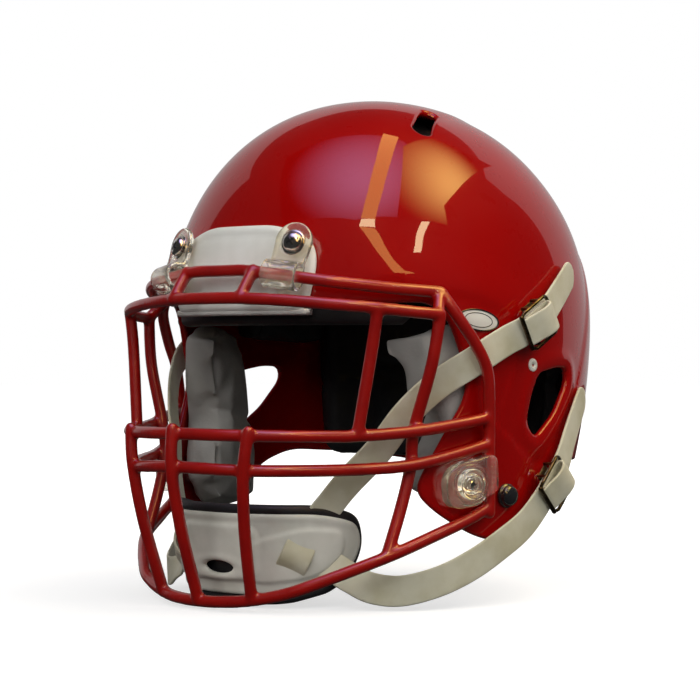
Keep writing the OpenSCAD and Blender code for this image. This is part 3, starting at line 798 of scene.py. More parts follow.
def shell_relief(points, value):
    """How far the skin stands proud: ear rim, temple and rear creases, a dish round the lower snap, crown
    band.
    """
    side_view = points[:, 1:]
    ear = -signed_distance(side_view, EAR_OUTLINE)
    on_side = ease(np.abs(points[:, 0]), 60, 80)
    rim = 0.9 * on_side * np.exp(-((ear - 5.5) / 3.6) ** 2)
    gap, hand = line_gap(side_view, TEMPLE_CREASE)
    temple = 0.9 * on_side * ease(hand * gap, -2.4, 2.4) * (1 - ease(gap, 4, 26))
    gap, hand = line_gap(side_view, EAR_CREASE)
    behind = on_side * ease(-hand * gap, -2.2, 2.2) * (1 - ease(gap, 6, 40))
    snap = np.hypot(points[:, 1] - LOWER_SNAP[0], points[:, 2] - LOWER_SNAP[1])
    dish = -1.2 * on_side * (1 - ease(snap, 9, 17))
    across = np.abs(points[:, 0]) + 0.22 * (points[:, 1] + 30)
    band = -0.8 * ease(points[:, 2], 60, 105) * ease(across, 43, 54) * ease(points[:, 1], -60, -10)
    return rim + temple + behind + dish + band


def make_shell():
    """The whole shell, with its cut-outs, as one moulded wall."""
    count = 400
    climbs = np.concatenate([np.arange(-122, -1, 2.2),
                             np.linspace(0, 90, 86)])
    turns = np.arange(count) * 360 / count
    shell = moulded_sheet("helmet_shell", skin, turns, climbs, shell_field, WALL,
                          relief=shell_relief, wrap=True)
    return finish_piece(shell, "helmet", "shell_gloss", "shell")


def raised_skin(height):
    """The skin, moved outwards."""
    return lambda uv: skin(uv) + height * surface_normals(skin, uv)


BUMPER_OUTLINE = soften([(-47, 19), (47, 19), (50.5, 46), (45, 58), (24, 65.5), (-24, 65.5),
                         (-45, 58), (-50.5, 46)], 9)


def make_brow_bumper():
    """White bumper over the brow: a plate with a raised border and a lip under the shell's edge."""
    field = flat_field(lambda flat: signed_distance(flat, BUMPER_OUTLINE), [0, 2])

    def relief(points, value):
        border = ease(value, 1.2, 2.4) * (1 - ease(value, 3.8, 5.2))
        return 0.7 * border + 0.25 * ease(value, 6, 9)

    plate = moulded_sheet("brow_bumper_plate", raised_skin(3.6), np.arange(226, 314.5, 0.75),
                          np.arange(0, 30, 0.75), field, 3.0, relief=relief)
    finish_piece(plate, "helmet", "bumper_white", "brow_bumper")
    turns = np.linspace(247.5, 292.5, 50)
    low = 19.6
    dome = math.degrees(math.asin(((low - BELT_Z) / (CROWN_Z - BELT_Z)) ** (DOME_POW / 2)))
    uv = np.column_stack([turns, np.full(len(turns), dome)])
    out = surface_normals(skin, uv) * (1, 1, 0)
    path = skin(uv) - unit(out)
    lip = mesh_object("brow_bumper_lip", *sweep(path, rounded_bar(4.6, 1.6, 1.4), level_ups(len(path))))
    return finish_piece(lip, "helmet", "bumper_white")


def make_rear_bumper():
    """Black ribbed bumper over the nape."""
    outline = soften([(-46, -59), (46, -59), (40, -40), (-40, -40)], 8)
    field = flat_field(lambda flat: signed_distance(flat, outline), [0, 2])
    ribs = lambda points, value: 0.5 * ease(value, 2.5, 4) * (0.5 + 0.5 * np.cos(points[:, 2] * 1.4))
    plate = moulded_sheet("rear_bumper_plate", raised_skin(3.2), np.arange(60, 120.5, 0.75),
                          np.arange(-76, -46, 0.7), field, 2.4, relief=ribs)
    return finish_piece(plate, "helmet", "liner_black", "rear_bumper")


def make_badges():
    """A plain white oval plate with two thin black rims on each temple."""
    place, (long, high) = on_wall(*BADGE_SPOT, -8), (1.3, 0.55)
    points, faces = lathe([(0, 0.1), (9.2, 0.1), (9.2, 0.75), (8.9, 0.85), (0, 0.85)], 64)
    plates = on_both_sides(placed((points * (long, high, 1), faces), place))
    rims = []
    for size, width in ((9.6, 0.45), (6.6, 0.25)):
        turns = np.arange(48) * math.tau / 48
        oval = [(long * size * math.cos(a), high * size * math.sin(a), 0.8) for a in turns]
        rims.append(placed(tube(oval, width, 1, 8, closed=True), place))
    plates = mesh_object("temple_badges", *join_shapes(*plates))
    finish_piece(plates, "helmet", "trim_white", "side_badges")
    rims = mesh_object("temple_badge_rims", *join_shapes(*on_both_sides(*rims)))
    finish_piece(rims, "helmet", "black_stud")


def make_valves():
    """White inflation valves: a low lip with a dished needle hole."""
    profile = [(0, -4.6), (2.3, -4.6), (2.5, -4.4), (2.5, 0.2), (3.4, 0.2), (3.6, 0.6), (3.4, 1.2),
               (2.8, 1.55), (2.0, 1.6), (1.3, 1.3), (0.85, 1.1), (0.8, 0.4), (0, 0.4)]
    shape = placed(lathe(profile, 40), on_wall(*VALVE_SPOT))
    valves = mesh_object("valve_lips", *join_shapes(*on_both_sides(shape)))
    return finish_piece(valves, "helmet", "trim_white", "inflation_valves")


# ---- liner ----------------------------------------------------------------------------

def keep_inside(points, inset):
    """Pulls points that stick out of the skin, set in by inset, back onto it."""
    points = points.copy()
    flat = points[:, :2] - (0, MID_Y)
    length = half_len(points[:, 1], points[:, 2]) - inset
    ring = ((np.abs(flat[:, 0]) / (HALF_W - inset)) ** PLAN_POW
            + (np.abs(flat[:, 1]) / length) ** PLAN_POW) ** (1 / PLAN_POW)
    rise = np.maximum(points[:, 2] - BELT_Z, 0)
    size = (ring ** DOME_POW + (rise / (CROWN_Z - inset - BELT_Z)) ** DOME_POW) ** (1 / DOME_POW)
    size = np.maximum(size, 1)
    points[:, :2] = flat / size[:, None] + (0, MID_Y)
    points[:, 2] = np.where(rise > 0, BELT_Z + rise / size, points[:, 2])
    return points


CLOTH_FRAMES, CLOTH_PRESSURE = 20, 4.0
SEAM_WIDTH = 2.4


def hold_in_shell(points):
    return keep_inside(points, LINER_INSET)


def inflate(piece, cap, hold):
    """Swells the piece by cloth simulation; hold keeps its points where they may be."""
    start = coordinates(piece)
    cloth = piece.modifiers.new("cloth", "CLOTH")
    cloth.settings.use_pressure = True
    cloth.settings.uniform_pressure_force = CLOTH_PRESSURE
    cloth.settings.effector_weights.gravity = 0
    cloth.point_cache.frame_start, cloth.point_cache.frame_end = 1, CLOTH_FRAMES
    for number in range(1, CLOTH_FRAMES + 1):
        bpy.context.scene.frame_set(number)
    graph = bpy.context.evaluated_depsgraph_get()
    shown = piece.evaluated_get(graph).to_mesh()
    end = np.zeros(len(shown.vertices) * 3)
    shown.vertices.foreach_get("co", end)
    piece.modifiers.clear()
    bpy.context.scene.frame_set(1)
    move = end.reshape(-1, 3) / MM - start
    reach = np.linalg.norm(move, axis=-1, keepdims=True)
    move *= np.minimum(1, cap / np.maximum(reach, 1e-9))
    set_coordinates(piece, hold(start + move))


def cushion(name, node, hold, seams=(), voxel=5.0, shrink=2.0, cap=7.0, depth=2.2, soften_edges=6):
    """A padded copy of a CAD solid: swollen, held in its place, then sewn along its seams."""
    piece = linked_object(name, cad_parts[node].data.copy())
    weld(piece, 0.0001)
    add_modifier(piece, "REMESH", mode="VOXEL", voxel_size=voxel * MM)
    apply_modifiers(piece)
    set_coordinates(piece, coordinates(piece) - shrink * normals(piece))
    add_modifier(piece, "SMOOTH", factor=0.5, iterations=soften_edges)
    apply_modifiers(piece)
    inflate(piece, cap, hold)
    set_coordinates(piece, hold(coordinates(piece)))
    levels = 2
    add_modifier(piece, "SUBSURF", levels=levels, render_levels=levels)
    apply_modifiers(piece)
    points, out = coordinates(piece), normals(piece)
    dip = np.zeros(len(points))
    for seam in seams:
        dip = np.maximum(dip, np.exp(-(seam(points) / SEAM_WIDTH) ** 2))
    set_coordinates(piece, hold(points - depth * dip[:, None] * out))
    piece.data.shade_smooth()
    return piece


def make_liner():
    """Black liner pads inside the shell, pressed flat against it."""
    ring_y, ring_r = MID_Y + 8, 26

    def crown_spokes(p):
        spokes = np.minimum(np.abs(p[:, 0]), np.abs(p[:, 1] - ring_y))
        return np.where(np.hypot(p[:, 0], p[:, 1] - ring_y) > ring_r, spokes, FAR)

    seams = {
        "crown": [lambda p: np.abs(np.hypot(p[:, 0], p[:, 1] - ring_y) - ring_r), crown_spokes],
        "front": [lambda p: np.abs(np.abs(p[:, 0]) - 22)],
        "rear": [lambda p: np.abs(np.abs(p[:, 0]) - 24), lambda p: np.abs(p[:, 2] - 30),
                 lambda p: np.abs(p[:, 2] + 8)]}
    for part, lines in seams.items():
        pad = cushion("liner_" + part, part + "_pad", hold_in_shell, lines)
        finish_piece(pad, "helmet", "liner_black", part + "_pad", padding=0.7)
    left = cushion("liner_side_left", "side_pad_left", hold_in_shell, [lambda p: np.abs(p[:, 1] + 18)])
    for side_name, piece in left_and_right(left):
        finish_piece(piece, "helmet", "liner_black", "side_pad_" + side_name, padding=0.7)


def make_brow_foam():
    """Dark foam band that shows inside the front rim, under the brow."""
    turns = np.linspace(218, 322, 90)
    uv = np.column_stack([turns, np.full(len(turns), 12.0)])
    path = raised_skin(-WALL - 6.8)(uv)
    path[:, 2] = 19.5
    ends = np.sqrt(np.clip(np.minimum(turns - 217.4, 322.6 - turns) / 3.0, 0.02, 1))
    ups = surface_normals(skin, uv) * (1, 1, 0)
    band = mesh_object("liner_brow_band", *sweep(path, rounded_bar(6.6, 5.4, 4.5), ups, widths=ends))
    finish_piece(band, "helmet", "liner_black", padding=0.8)


def make_corner_pads():
    """Black pads between the side pads and the rear pad, down to the hem."""
    outline = soften([(37, -64), (82, -68), (82, 62), (37, 62)], 10)
    field = flat_field(lambda flat: signed_distance(flat, outline), [1, 2])

    def relief(points, value):
        channel = np.minimum(np.abs(points[:, 2] - 24), np.abs(points[:, 2] + 20))
        return -2.4 * np.exp(-(channel / 3.0) ** 2)

    climbs = np.concatenate([np.arange(-80, -1, 1.8), np.arange(0, 60, 1.8)])
    left = moulded_sheet("liner_corner_left", raised_skin(-LINER_INSET), np.arange(14, 74, 1.0), climbs,
                         field, 17.0, relief=relief)
    for _, piece in left_and_right(left):
        finish_piece(piece, "helmet", "liner_black", padding=0.7)


def left_and_right(left):
    """The left piece and its mirror image on the other side of the helmet."""
    right = linked_object(left.name.replace("left", "right"), left.data.copy())
    set_coordinates(right, coordinates(left) * (-1, 1, 1))
    right.data.flip_normals()
    return ("left", left), ("right", right)


def make_jaw_pads():
    """Light grey jaw pads with a sewn edge and a crease down the cheek."""
    edge = soften([(-82, 4), (-60, 13), (-44, 7), (-37, -10), (-36, -42), (-26, -60), (-30, -82),
                   (-46, -89), (-64, -85), (-78, -71), (-72, -40), (-76, -18)], 6)

    def shallow(p):  # keeps the seams off the face that lies against the shell
        return 0.7 * np.maximum(16 - skin_depth(p), 0)

    def piping(p):
        return np.abs(signed_distance(p[:, 1:], edge)) + shallow(p)

    def fold(p):
        return np.abs(p[:, 2] + 36 + 0.2 * (p[:, 1] + 60)) + shallow(p)

    left = cushion("jaw_cushion_left", "jaw_pad_left", hold_in_shell, [piping, fold], shrink=2.2, depth=1.8)
    for side_name, piece in left_and_right(left):
        finish_piece(piece, "jaw_" + side_name, "jaw_grey", "jaw_pad_" + side_name, padding=0.6)


def skin_depth(points):
    """Rough depth of points below the skin of the side walls."""
    return skin_x(points[:, 1], points[:, 2]) - np.abs(points[:, 0])


# ---- face cage ------------------------------------------------------------------------

BROW_ROUTE = [(0, -145.5, 41), (18, -145.3, 40.9), (33, -143, 39.2), (48, -139.2, 37.2),
              (66, -130, 34.5), (86, -110, 31.5), (100, -86, 29.5)]
UPPER_ROUTE = [(0, -156, 26.6), (24, -154.5, 26.4), (50, -147.5, 25), (72, -138, 23),
               (90, -124, 21), (101, -107, 19), (106, -94, 18)]
MIDDLE_TOP_ROUTE = [(0, -175.5, -42.5), (24, -172.5, -42.8), (44, -164.5, -43), (63, -149.5, -43.2),
                    (80, -128, -43.2), (95, -101, -41.2), (106, -80, -38), (112, -66, -35.5)]
MIDDLE_BOTTOM_ROUTE = [(0, -176.3, -59.4), (22, -173.5, -60), (41, -165.5, -60.6), (61, -149, -60.6),
                       (78, -127, -60.2), (93, -101.5, -58.5), (105, -78, -53), (112, -62, -48.5)]
CHIN_ROUTE = [(0, -160, -129), (17, -158.5, -128.6), (32, -154, -127), (48, -147.5, -123.5),
              (62, -139.5, -118), (88, -114.5, -104.5), (100, -91, -94.5), (108, -72, -86.5),
              (111.5, -61, -81)]
SIDE_ROUTES = [
    [(100, -86, 29.5), (106, -83, 20), (111.5, -73, 4), (113.5, -65, -10), (113, -62.5, -26),
     (111.8, -61, -48), (111.8, -61, -84)],
    [(106, -94, 18), (102, -96, -8), (91.5, -97.5, -41), (89.5, -97.5, -59), (88.5, -104, -80),
     (87.5, -114, -104)],
    [(90, -124, 21), (86.5, -124.5, 0), (80, -128, -43)],
    [(42.5, -168, -41), (40, -169, -60), (36.5, -164.5, -90), (32, -154.5, -127)],
    [(24, -145, 41), (24, -155, 26.5)],
    [(99.5, -86.5, 29), (105, -94.5, 18.5)],
]
CENTER_ROUTE = [(0, -179.5, -40), (0, -180, -60), (0, -173.5, -90), (0, -160.5, -129)]
CAGE_NODES = [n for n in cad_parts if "wire" in n or "upright" in n or n == "brow_ties"]


def whole(half):
    """A cross wire from its left half."""
    return [(-x, y, z) for x, y, z in half[:0:-1]] + list(half)


def make_cage():
    """The welded wires as one dipped piece, with fillets where they meet."""
    crossing = (BROW_ROUTE, UPPER_ROUTE, MIDDLE_TOP_ROUTE, MIDDLE_BOTTOM_ROUTE, CHIN_ROUTE)
    shapes = [tube(whole(route), WIRE_R) for route in crossing] + [tube(CENTER_ROUTE, WIRE_R)]
    for route in SIDE_ROUTES:
        shapes += on_both_sides(tube(route, WIRE_R))
    cage = mesh_object("cage_wires", *join_shapes(*shapes))
    add_modifier(cage, "REMESH", mode="VOXEL", voxel_size=0.8 * MM)
    apply_modifiers(cage)
    start = coordinates(cage)
    add_modifier(cage, "SMOOTH", factor=0.5, iterations=14)
    apply_modifiers(cage)
    end, out = coordinates(cage), normals(cage)
    lost = np.median(((start - end) * out).sum(-1))
    set_coordinates(cage, end + lost * out)
    cage.data.shade_smooth()
    return finish_piece(cage, "face_cage", "cage_coat", *CAGE_NODES)


# ---- clips ----------------------------------------------------------------------------

HINGE = np.array([40.5, -141.2, 38.3])
SCREW_YAW, SCREW_TILT = 17, 14


def top_screw_place():
    """Origin and axes at the left screw; Z points out of the brow."""
    yaw, lean = SCREW_YAW * DEG, (90 - SCREW_TILT) * DEG
    turn = np.array([[math.cos(yaw), -math.sin(yaw), 0], [math.sin(yaw), math.cos(yaw), 0], [0, 0, 1]])
    tip = np.array([[1, 0, 0], [0, math.cos(lean), -math.sin(lean)], [0, math.sin(lean), math.cos(lean)]])
    return TOP_SCREW, (turn @ tip).T


def make_top_clips():
    """Clear clips: a round-topped tab under the screw that flares into a loop round the wire."""
    place = top_screw_place()
    wire = unit(np.array([15, 4.6, -2.2]))

    def field(points):
        local = to_local(points, place)
        flat = local[:, :2]
        tab = pill(flat, (0, 0.5, 10.4), (-2.4, -15, 9.6))
        plate = slab(tab, local[:, 2] - 0.012 * np.maximum(-local[:, 1], 0) ** 2, 5.8, 9.0, 1.2)
        gap = points - HINGE
        along = gap @ wire
        away = np.linalg.norm(gap - along[:, None] * wire, axis=-1)
        ring = slab(away - 7.4, along, -9.8, 9.8, 1.4)
        body = round_min(plate, ring, 2.5)
        bore = away - 5.2 - 0.004 * along ** 2
        seat = np.maximum(np.hypot(local[:, 0], local[:, 1]) - 6.9, 8.1 - local[:, 2])
        return np.maximum(np.maximum(body, -bore), -seat)

    low = np.minimum(HINGE, TOP_SCREW) - (16, 14, 12)
    high = np.maximum(HINGE, TOP_SCREW) + (16, 10, 16)
    points, faces = surface_nets(field, low, high, 0.5)
    for side_name, side in SIDES:
        clip = mesh_object("top_clip_moulding_" + side_name, *mirror_points(points, faces, side))
        finish_piece(clip, "helmet", "clear_plastic", "top_clip_" + side_name)


def make_screws():
    """Domed screws on washers, with a cross slot."""
    place = top_screw_place()
    head = [(0, 8.7), (3.6, 8.7), (4.9, 9.0), (5.3, 9.6), (5.1, 10.4), (4.5, 11.2), (3.4, 11.9),
            (1.9, 12.3), (0, 12.4)]
    washer = [(0, 8.2), (6.5, 8.2), (6.7, 8.5), (6.5, 8.85), (5.6, 9.0), (0, 9.0)]
    shank = [(0, -8), (2.2, -8), (2.4, -7.6), (2.4, 8.6), (0, 8.6)]
    shapes = [placed(lathe(profile), place) for profile in (head, washer, shank)]
    screws = mesh_object("brow_screws", *join_shapes(*on_both_sides(*shapes)))
    finish_piece(screws, "helmet", "chrome", "clip_screws")
    bars = []
    for turn in (35, 125):
        c, s = math.cos(turn * DEG), math.sin(turn * DEG)
        path = np.array([(t * c, t * s, 12.36 - 0.045 * t * t) for t in np.linspace(-2.6, 2.6, 9)])
        bars.append(placed(sweep(path, rounded_bar(0.5, 0.3, 0.1), level_ups(9)), place))
    slots = mesh_object("screw_cross_slots", *join_shapes(*on_both_sides(*bars)))
    finish_piece(slots, "helmet", "black_stud")


CLIP_OUTLINE = soften([(-11.5, 7.5), (-5, 11), (4, 12.8), (11.6, 15), (17, 13.6), (18, -2.4),
                       (14.9, -5.4), (9.5, -7), (5, -11.4), (-8.5, -12.6), (-13.2, -9.2), (-14.2, 2)], 4)


def make_side_clips():
    """Clear side clips: a body with a round well for the button and a ribbed tab behind it."""
    place = on_wall(*SIDE_CLIP)

    def field(points):
        local = to_local(points, place)
        flat = -signed_distance(local[:, :2], CLIP_OUTLINE)
        body = slab(flat, local[:, 2] + 0.012 * np.maximum(local[:, 0] - 4, 0) ** 2, 2.4, 11.2, 1.8)
        round_gap = np.hypot(local[:, 0], local[:, 1])
        well = np.maximum(round_gap - 8.5, 6 - local[:, 2])
        groove = np.hypot(round_gap - 10.6, local[:, 2] - 11.4) - 0.8
        ribs = np.abs((local[:, 1] + 60) % 2.6 - 1.3) - 0.55
        tab = np.maximum(np.abs(local[:, 0] - 14) - 2.6, np.abs(local[:, 1] - 4) - 7.4)
        notch = np.maximum(np.maximum(ribs, tab), 9.7 - local[:, 2])
        return np.maximum(np.maximum(np.maximum(body, -well), -groove), -notch)

    origin = place[0]
    points, faces = surface_nets(field, origin - (12, 22, 18), origin + (20, 24, 20),
                                 0.45)
    rings = [(0, 2.4), (3.2, 2.4), (3.2, 8.6), (7.6, 9.0), (8.0, 9.5), (8.0, 11.4), (7.5, 12.2),
             (6.6, 12.5), (6.2, 11.9), (5.6, 11.7), (5.1, 12.0), (4.6, 12.6), (3.9, 12.6), (3.5, 12.1),
             (3.0, 12.0), (0, 12.0)]
    key = soften([(2.3, 0), (-1.15, 2.0), (-1.15, -2.0)], 0.5)
    key_points = np.array([(x, y, z) for z in (11.6, 12.35) for x, y in key])
    key = placed((key_points, ring_faces(2, len(key))), place)
    button = placed(lathe(rings, 64), place)
    for side_name, side in SIDES:
        shapes = [mirror_points(*shape, side) for shape in ((points, faces), button, key)]
        names = ("side_clip_moulding_", "button_rings_", "button_key_")
        clip, rings_piece, insert = (mesh_object(name + side_name, *shape)
                                     for name, shape in zip(names, shapes))
        finish_piece(clip, "face_cage", "clear_plastic", "side_clip_" + side_name)
        finish_piece(rings_piece, "release_" + side_name, "clear_plastic", "release_button_" + side_name)
        finish_piece(insert, "release_" + side_name, "chrome")


# ---- snaps, buckles, straps -----------------------------------------------------------

STRAP_OUT = 6.9
UPPER_FREE = [(44.5, -126.5, -104), (47, -125, -95), (49.6, -123.5, -87), (55, -119.8, -78.5),
              (62, -114.8, -68), (74, -104, -51), (84.5, -96, -33.5), (96, -84, -18)]
UPPER_WALL = [(-66, -5.5, 4), (-48, 4.5, 4.4), (-38, 9.5, STRAP_OUT), (-28, 15, STRAP_OUT),
              (-18, 21, STRAP_OUT), (-6, 28.5, 5), (8, 37, 3.4), (19, 43.5, 3)]
LOWER_FREE = [(48.5, -119, -109), (53.5, -115.5, -112), (60.5, -111, -117), (72, -107.5, -121.8),
              (85, -99, -123), (97, -83.5, -118.5), (106, -67, -110.5)]
LOWER_WALL = [(-50, -100, 5), (-36, -91.5, 5.6), (-25, -81, STRAP_OUT), (-14, -70, STRAP_OUT),
              (-4, -59, STRAP_OUT), (7, -47, 5), (20, -34, 3.6), (32, -23, 3)]


def band_section(width):
    """Cross-section of a strap: slightly crowned, with rounded edges."""
    half, edge = width / 2, STRAP_T / 2
    xs = np.array([-half + edge, -half + 2 * edge, -half / 2, 0, half / 2, half - 2 * edge, half - edge])
    crown = 0.12 * (1 - (xs / half) ** 2)
    turn = np.linspace(60, -60, 5) * DEG
    right = [(half - edge + edge * math.cos(a), -edge * math.sin(a)) for a in turn]
    left = [(-half + edge - edge * math.cos(a), edge * math.sin(a)) for a in turn]
    low = [(x, -edge) for x in xs]
    high = [(x, edge + c) for x, c in zip(xs[::-1], crown[::-1])]
    return np.array(low + right + high + left)


def ribbon(name, path, ups, width=STRAP_W, closed=False, round_end=True):
    """A strap along a path, with a map of where each point lies across and along it."""
    section = band_section(width)
    length = np.concatenate([[0], np.cumsum(np.linalg.norm(np.diff(path, axis=0), axis=-1))])
    widths = np.ones(len(path))
    tip = width / 2
    if round_end and not closed:
        left = length[-1] - length
        widths = np.where(left < tip, np.sqrt(np.maximum(1 - (1 - left / tip) ** 2, 0.01)), widths)
    piece = mesh_object(name, *sweep(path, section, ups, closed, widths))
    across = np.tile(section[:, 0], len(path))
    along = np.repeat(length, len(section))
    corners = np.zeros(len(piece.data.loops), int)
    piece.data.loops.foreach_get("vertex_index", corners)
    layer = piece.data.uv_layers.new(name="ribbon")
    layer.data.foreach_set("uv", np.column_stack([across, along])[corners].astype(np.float32).ravel())
    return piece


def strap_route(free, wall_rows):
    """The strap's middle line and which way it faces, from the chin cup to its tail."""
    wall = [np.array([float(skin_x(y, z)), y, z]) + out * facing(y, z) for y, z, out in wall_rows]
    path = spline(np.concatenate([free, wall]), 8)
    tail = path[-1] + unit(path[-1] - path[-2]) * np.linspace(-9, 0, 12)[:, None]
    path = np.concatenate([path[np.linalg.norm(path - path[-1], axis=-1) > 9.2], tail])
    ups = facing(np.maximum(path[:, 1], -68), np.minimum(path[:, 2], BELT_Z))
    return path, ups


def make_straps():
    """Four straps from the chin cup to the shell; each one's end follows its snap."""
    routes = (("upper", UPPER_FREE, UPPER_WALL, UPPER_SNAP), ("lower", LOWER_FREE, LOWER_WALL, LOWER_SNAP))
    for which, free, wall, snap in routes:
        path, ups = strap_route(free, wall)
        for side_name, side in SIDES:
            flip = np.array([side, 1, 1])
            name = f"strap_{which}_{side_name}"
            piece = ribbon("chin_" + name, path * flip, ups * flip)
            finish_piece(piece, None, "strap_vinyl", name)
            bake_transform(piece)


def buckle_shapes():
    """Wire frame with a toothed front bar, on a base plate with two posts; local coordinates."""
    frame_z, half_w, front, rear = 11.0, 10.6, -12.6, 10.4
    corners = soften([(front, -half_w), (rear, -half_w), (rear, half_w), (front, half_w)], 4, steps=5)
    loop_path = np.column_stack([corners, frame_z - 0.010 * corners[:, 0] ** 2])
    shapes = [tube(loop_path, 0.95, steps=2, sides=12, closed=True)]
    bar = [(front, y, frame_z - 1.5) for y in (-half_w + 1.5, 0, half_w - 1.5)]
    shapes.append(tube(bar, 1.25, steps=4, sides=12))
    for y in np.linspace(-7.2, 7.2, 9):
        tooth = lathe([(0, 0), (0.7, 0), (0.62, 0.9), (0.2, 1.9), (0, 2.0)], 10)
        axes = np.array([[0, 1.0, 0], [0, 0, 1.0], [1.0, 0, 0]])
        shapes.append(placed(tooth, (np.array([front + 0.9, y, frame_z - 1.3]), axes)))
    base = np.array([(x, 0, 5.05) for x in np.linspace(-5.5, 4, 6)])
    shapes.append(sweep(base, rounded_bar(10.4, 0.35, 0.3), level_ups(6)))
    for y in (-half_w + 0.2, half_w - 0.2):
        for x, top_x in ((-5, -5.2), (3.6, 3.8)):
            post = [(x, y, 5.1), (x, y * 1.02, 8), (top_x, y * 1.02, 10.6)]
            shapes.append(tube(post, 0.85, steps=4, sides=10))
    return shapes


LOOP_ROUTE = [(-11.2, 0, 9.4), (-4, 0, 8.9), (3, 0, 8.8), (7.2, 0, 9.5), (8.9, 0, 11.4), (7.6, 0, 13.6),
              (3.6, 0, 14.9), (-1.5, 0, 14.2), (-6.4, 0, 12.2), (-10.6, 0, 10.6)]


def make_snaps():
    """On each stud: the snap cap, the wire buckle over it and the strap's loop round it."""
    cap = [(0, 1.7), (5.6, 1.7), (6.3, 1.9), (6.6, 2.5), (6.5, 3.3), (6.0, 4.0), (5.0, 4.5), (0, 4.6)]
    for which, snap in (("upper", UPPER_SNAP), ("lower", LOWER_SNAP)):
        place = on_wall(*snap)
        path = spline(LOOP_ROUTE, 6, closed=True)
        outward = path - path.mean(0)
        for side_name, side in SIDES:
            body, tag = f"snap_{which}_{side_name}_body", f"{which}_{side_name}"
            flip = np.array([side, 1, 1])
            piece = mesh_object("snap_cap_" + tag, *mirror_points(*placed(lathe(cap), place), side))
            finish_piece(piece, body, "chrome", "snap_" + tag)
            shape = placed(join_shapes(*buckle_shapes()), place)
            piece = mesh_object("buckle_frame_" + tag, *mirror_points(*shape, side))
            finish_piece(piece, body, "bronze_wire", "buckle_" + tag)
            ups = (outward @ place[1]) * flip
            route = (path @ place[1] + place[0]) * flip
            piece = ribbon("strap_loop_" + tag, route, ups, STRAP_W - 0.6, closed=True)
            finish_piece(piece, body, "strap_vinyl", "loop_" + tag)


def make_spare_studs():
    """Black domed studs that hold no strap."""
    profile = [(0, 0.1), (6.0, 0.1), (6.4, 0.6), (6.4, 1.6), (6.0, 2.2), (5.4, 2.4), (5.5, 3.0), (5.3, 3.9),
               (4.6, 4.9), (3.3, 5.6), (1.7, 5.95), (0, 6.0)]
    shape = placed(lathe(profile), on_wall(*SPARE_SPOT))
    studs = mesh_object("spare_stud_domes", *join_shapes(*on_both_sides(shape)))
    finish_piece(studs, "helmet", "black_stud", "spare_studs")


# ---- chin cup -------------------------------------------------------------------------

CUP_FRONT, CUP_DEPTH, CUP_LOW, CUP_HIGH, CUP_HALF_W = -150, 52, -131, -84, 60
CUP_WALL = 2.6
CUP_CENTER, CUP_POW = CUP_FRONT + CUP_DEPTH, 0.9


def cup_grow(z):
    return 0.80 + 0.20 * np.clip((z - CUP_LOW) / (CUP_HIGH - CUP_LOW), 0, None) ** 0.6


def cup(uv):
    """Point of the cup's outside at plan angle uv[0] in degrees and height uv[1]."""
    angle, z = uv[:, 0] * DEG, uv[:, 1]
    grow = cup_grow(z)
    return np.column_stack([CUP_HALF_W * grow * signed_pow(np.cos(angle), CUP_POW),
                            CUP_CENTER + CUP_DEPTH * grow * signed_pow(np.sin(angle), CUP_POW), z])


def cup_outline(pull):
    """The cup's edge in side view; pull moves its top and bottom towards each other."""
    return soften([(CUP_FRONT - 20, -127 + pull), (-134, -127 + pull), (-112, -120 + pull), (-101, -110),
                   (-98, -100), (-103, -90 - pull), (-112, -87 - pull), (-128, CUP_HIGH - pull),
                   (CUP_FRONT - 20, CUP_HIGH - pull)], 6)


def make_chin_cup():
    """Hard cup with raised front and side panels and a vent slot."""
    outline = cup_outline(0)
    front_panel = soften([(-24, -119), (24, -119), (27, -90), (-27, -90)], 9)
    side_panel = soften([(-143, -121), (-122, -116), (-110, -104), (-113, -93), (-132, -91),
                         (-146, -98)], 6)
    edge = flat_field(lambda flat: signed_distance(flat, outline), [1, 2])

    def field(points, out):
        slot = (np.hypot(points[:, 0] / 10, (points[:, 2] + 112.5) / 3.4) - 1) * 3.4
        return np.minimum(edge(points, out), slot)

    def relief(points, value):
        front = signed_distance(points[:, [0, 2]], front_panel)
        flank = signed_distance(points[:, 1:], side_panel)
        lip = np.exp(-((value - 2.2) / 1.4) ** 2)
        return 1.3 * ease(front, -1.5, 1.5) + 0.9 * ease(flank, -1.2, 1.2) + 0.4 * lip

    hard = moulded_sheet("chin_cup_shell", cup, np.arange(180, 360.1, 1.2), np.arange(-134, -80, 1.0),
                         field, CUP_WALL, relief=relief)
    return finish_piece(hard, "helmet", "cup_white", "chin_cup")


def make_chin_pad():
    """Dark foam inside the cup."""
    def hold(points):
        points = points.copy()
        inset = CUP_WALL + 1.5
        grow, power = cup_grow(points[:, 2]), 2 / CUP_POW
        flat = points[:, :2] - (0, CUP_CENTER)
        ring = ((np.abs(flat[:, 0]) / ((CUP_HALF_W - inset) * grow)) ** power
                + (np.abs(np.minimum(flat[:, 1], 0)) / ((CUP_DEPTH - inset) * grow)) ** power) ** (1 / power)
        points[:, :2] = flat / np.maximum(ring, 1)[:, None] + (0, CUP_CENTER)
        return points

    pad = cushion("chin_foam", "chin_pad", hold, voxel=2.6, shrink=0.8, cap=3.0, soften_edges=3)
    return finish_piece(pad, "helmet", "liner_black", "chin_pad", padding=0.5)


def cup_side_x(y, z):
    """X of the cup's left side where the side view shows (y, z)."""
    grow = cup_grow(z)
    share = np.clip((CUP_CENTER - y) / (CUP_DEPTH * grow), 0, 1) ** (1 / CUP_POW)
    return CUP_HALF_W * grow * np.sqrt(1 - share ** 2) ** CUP_POW


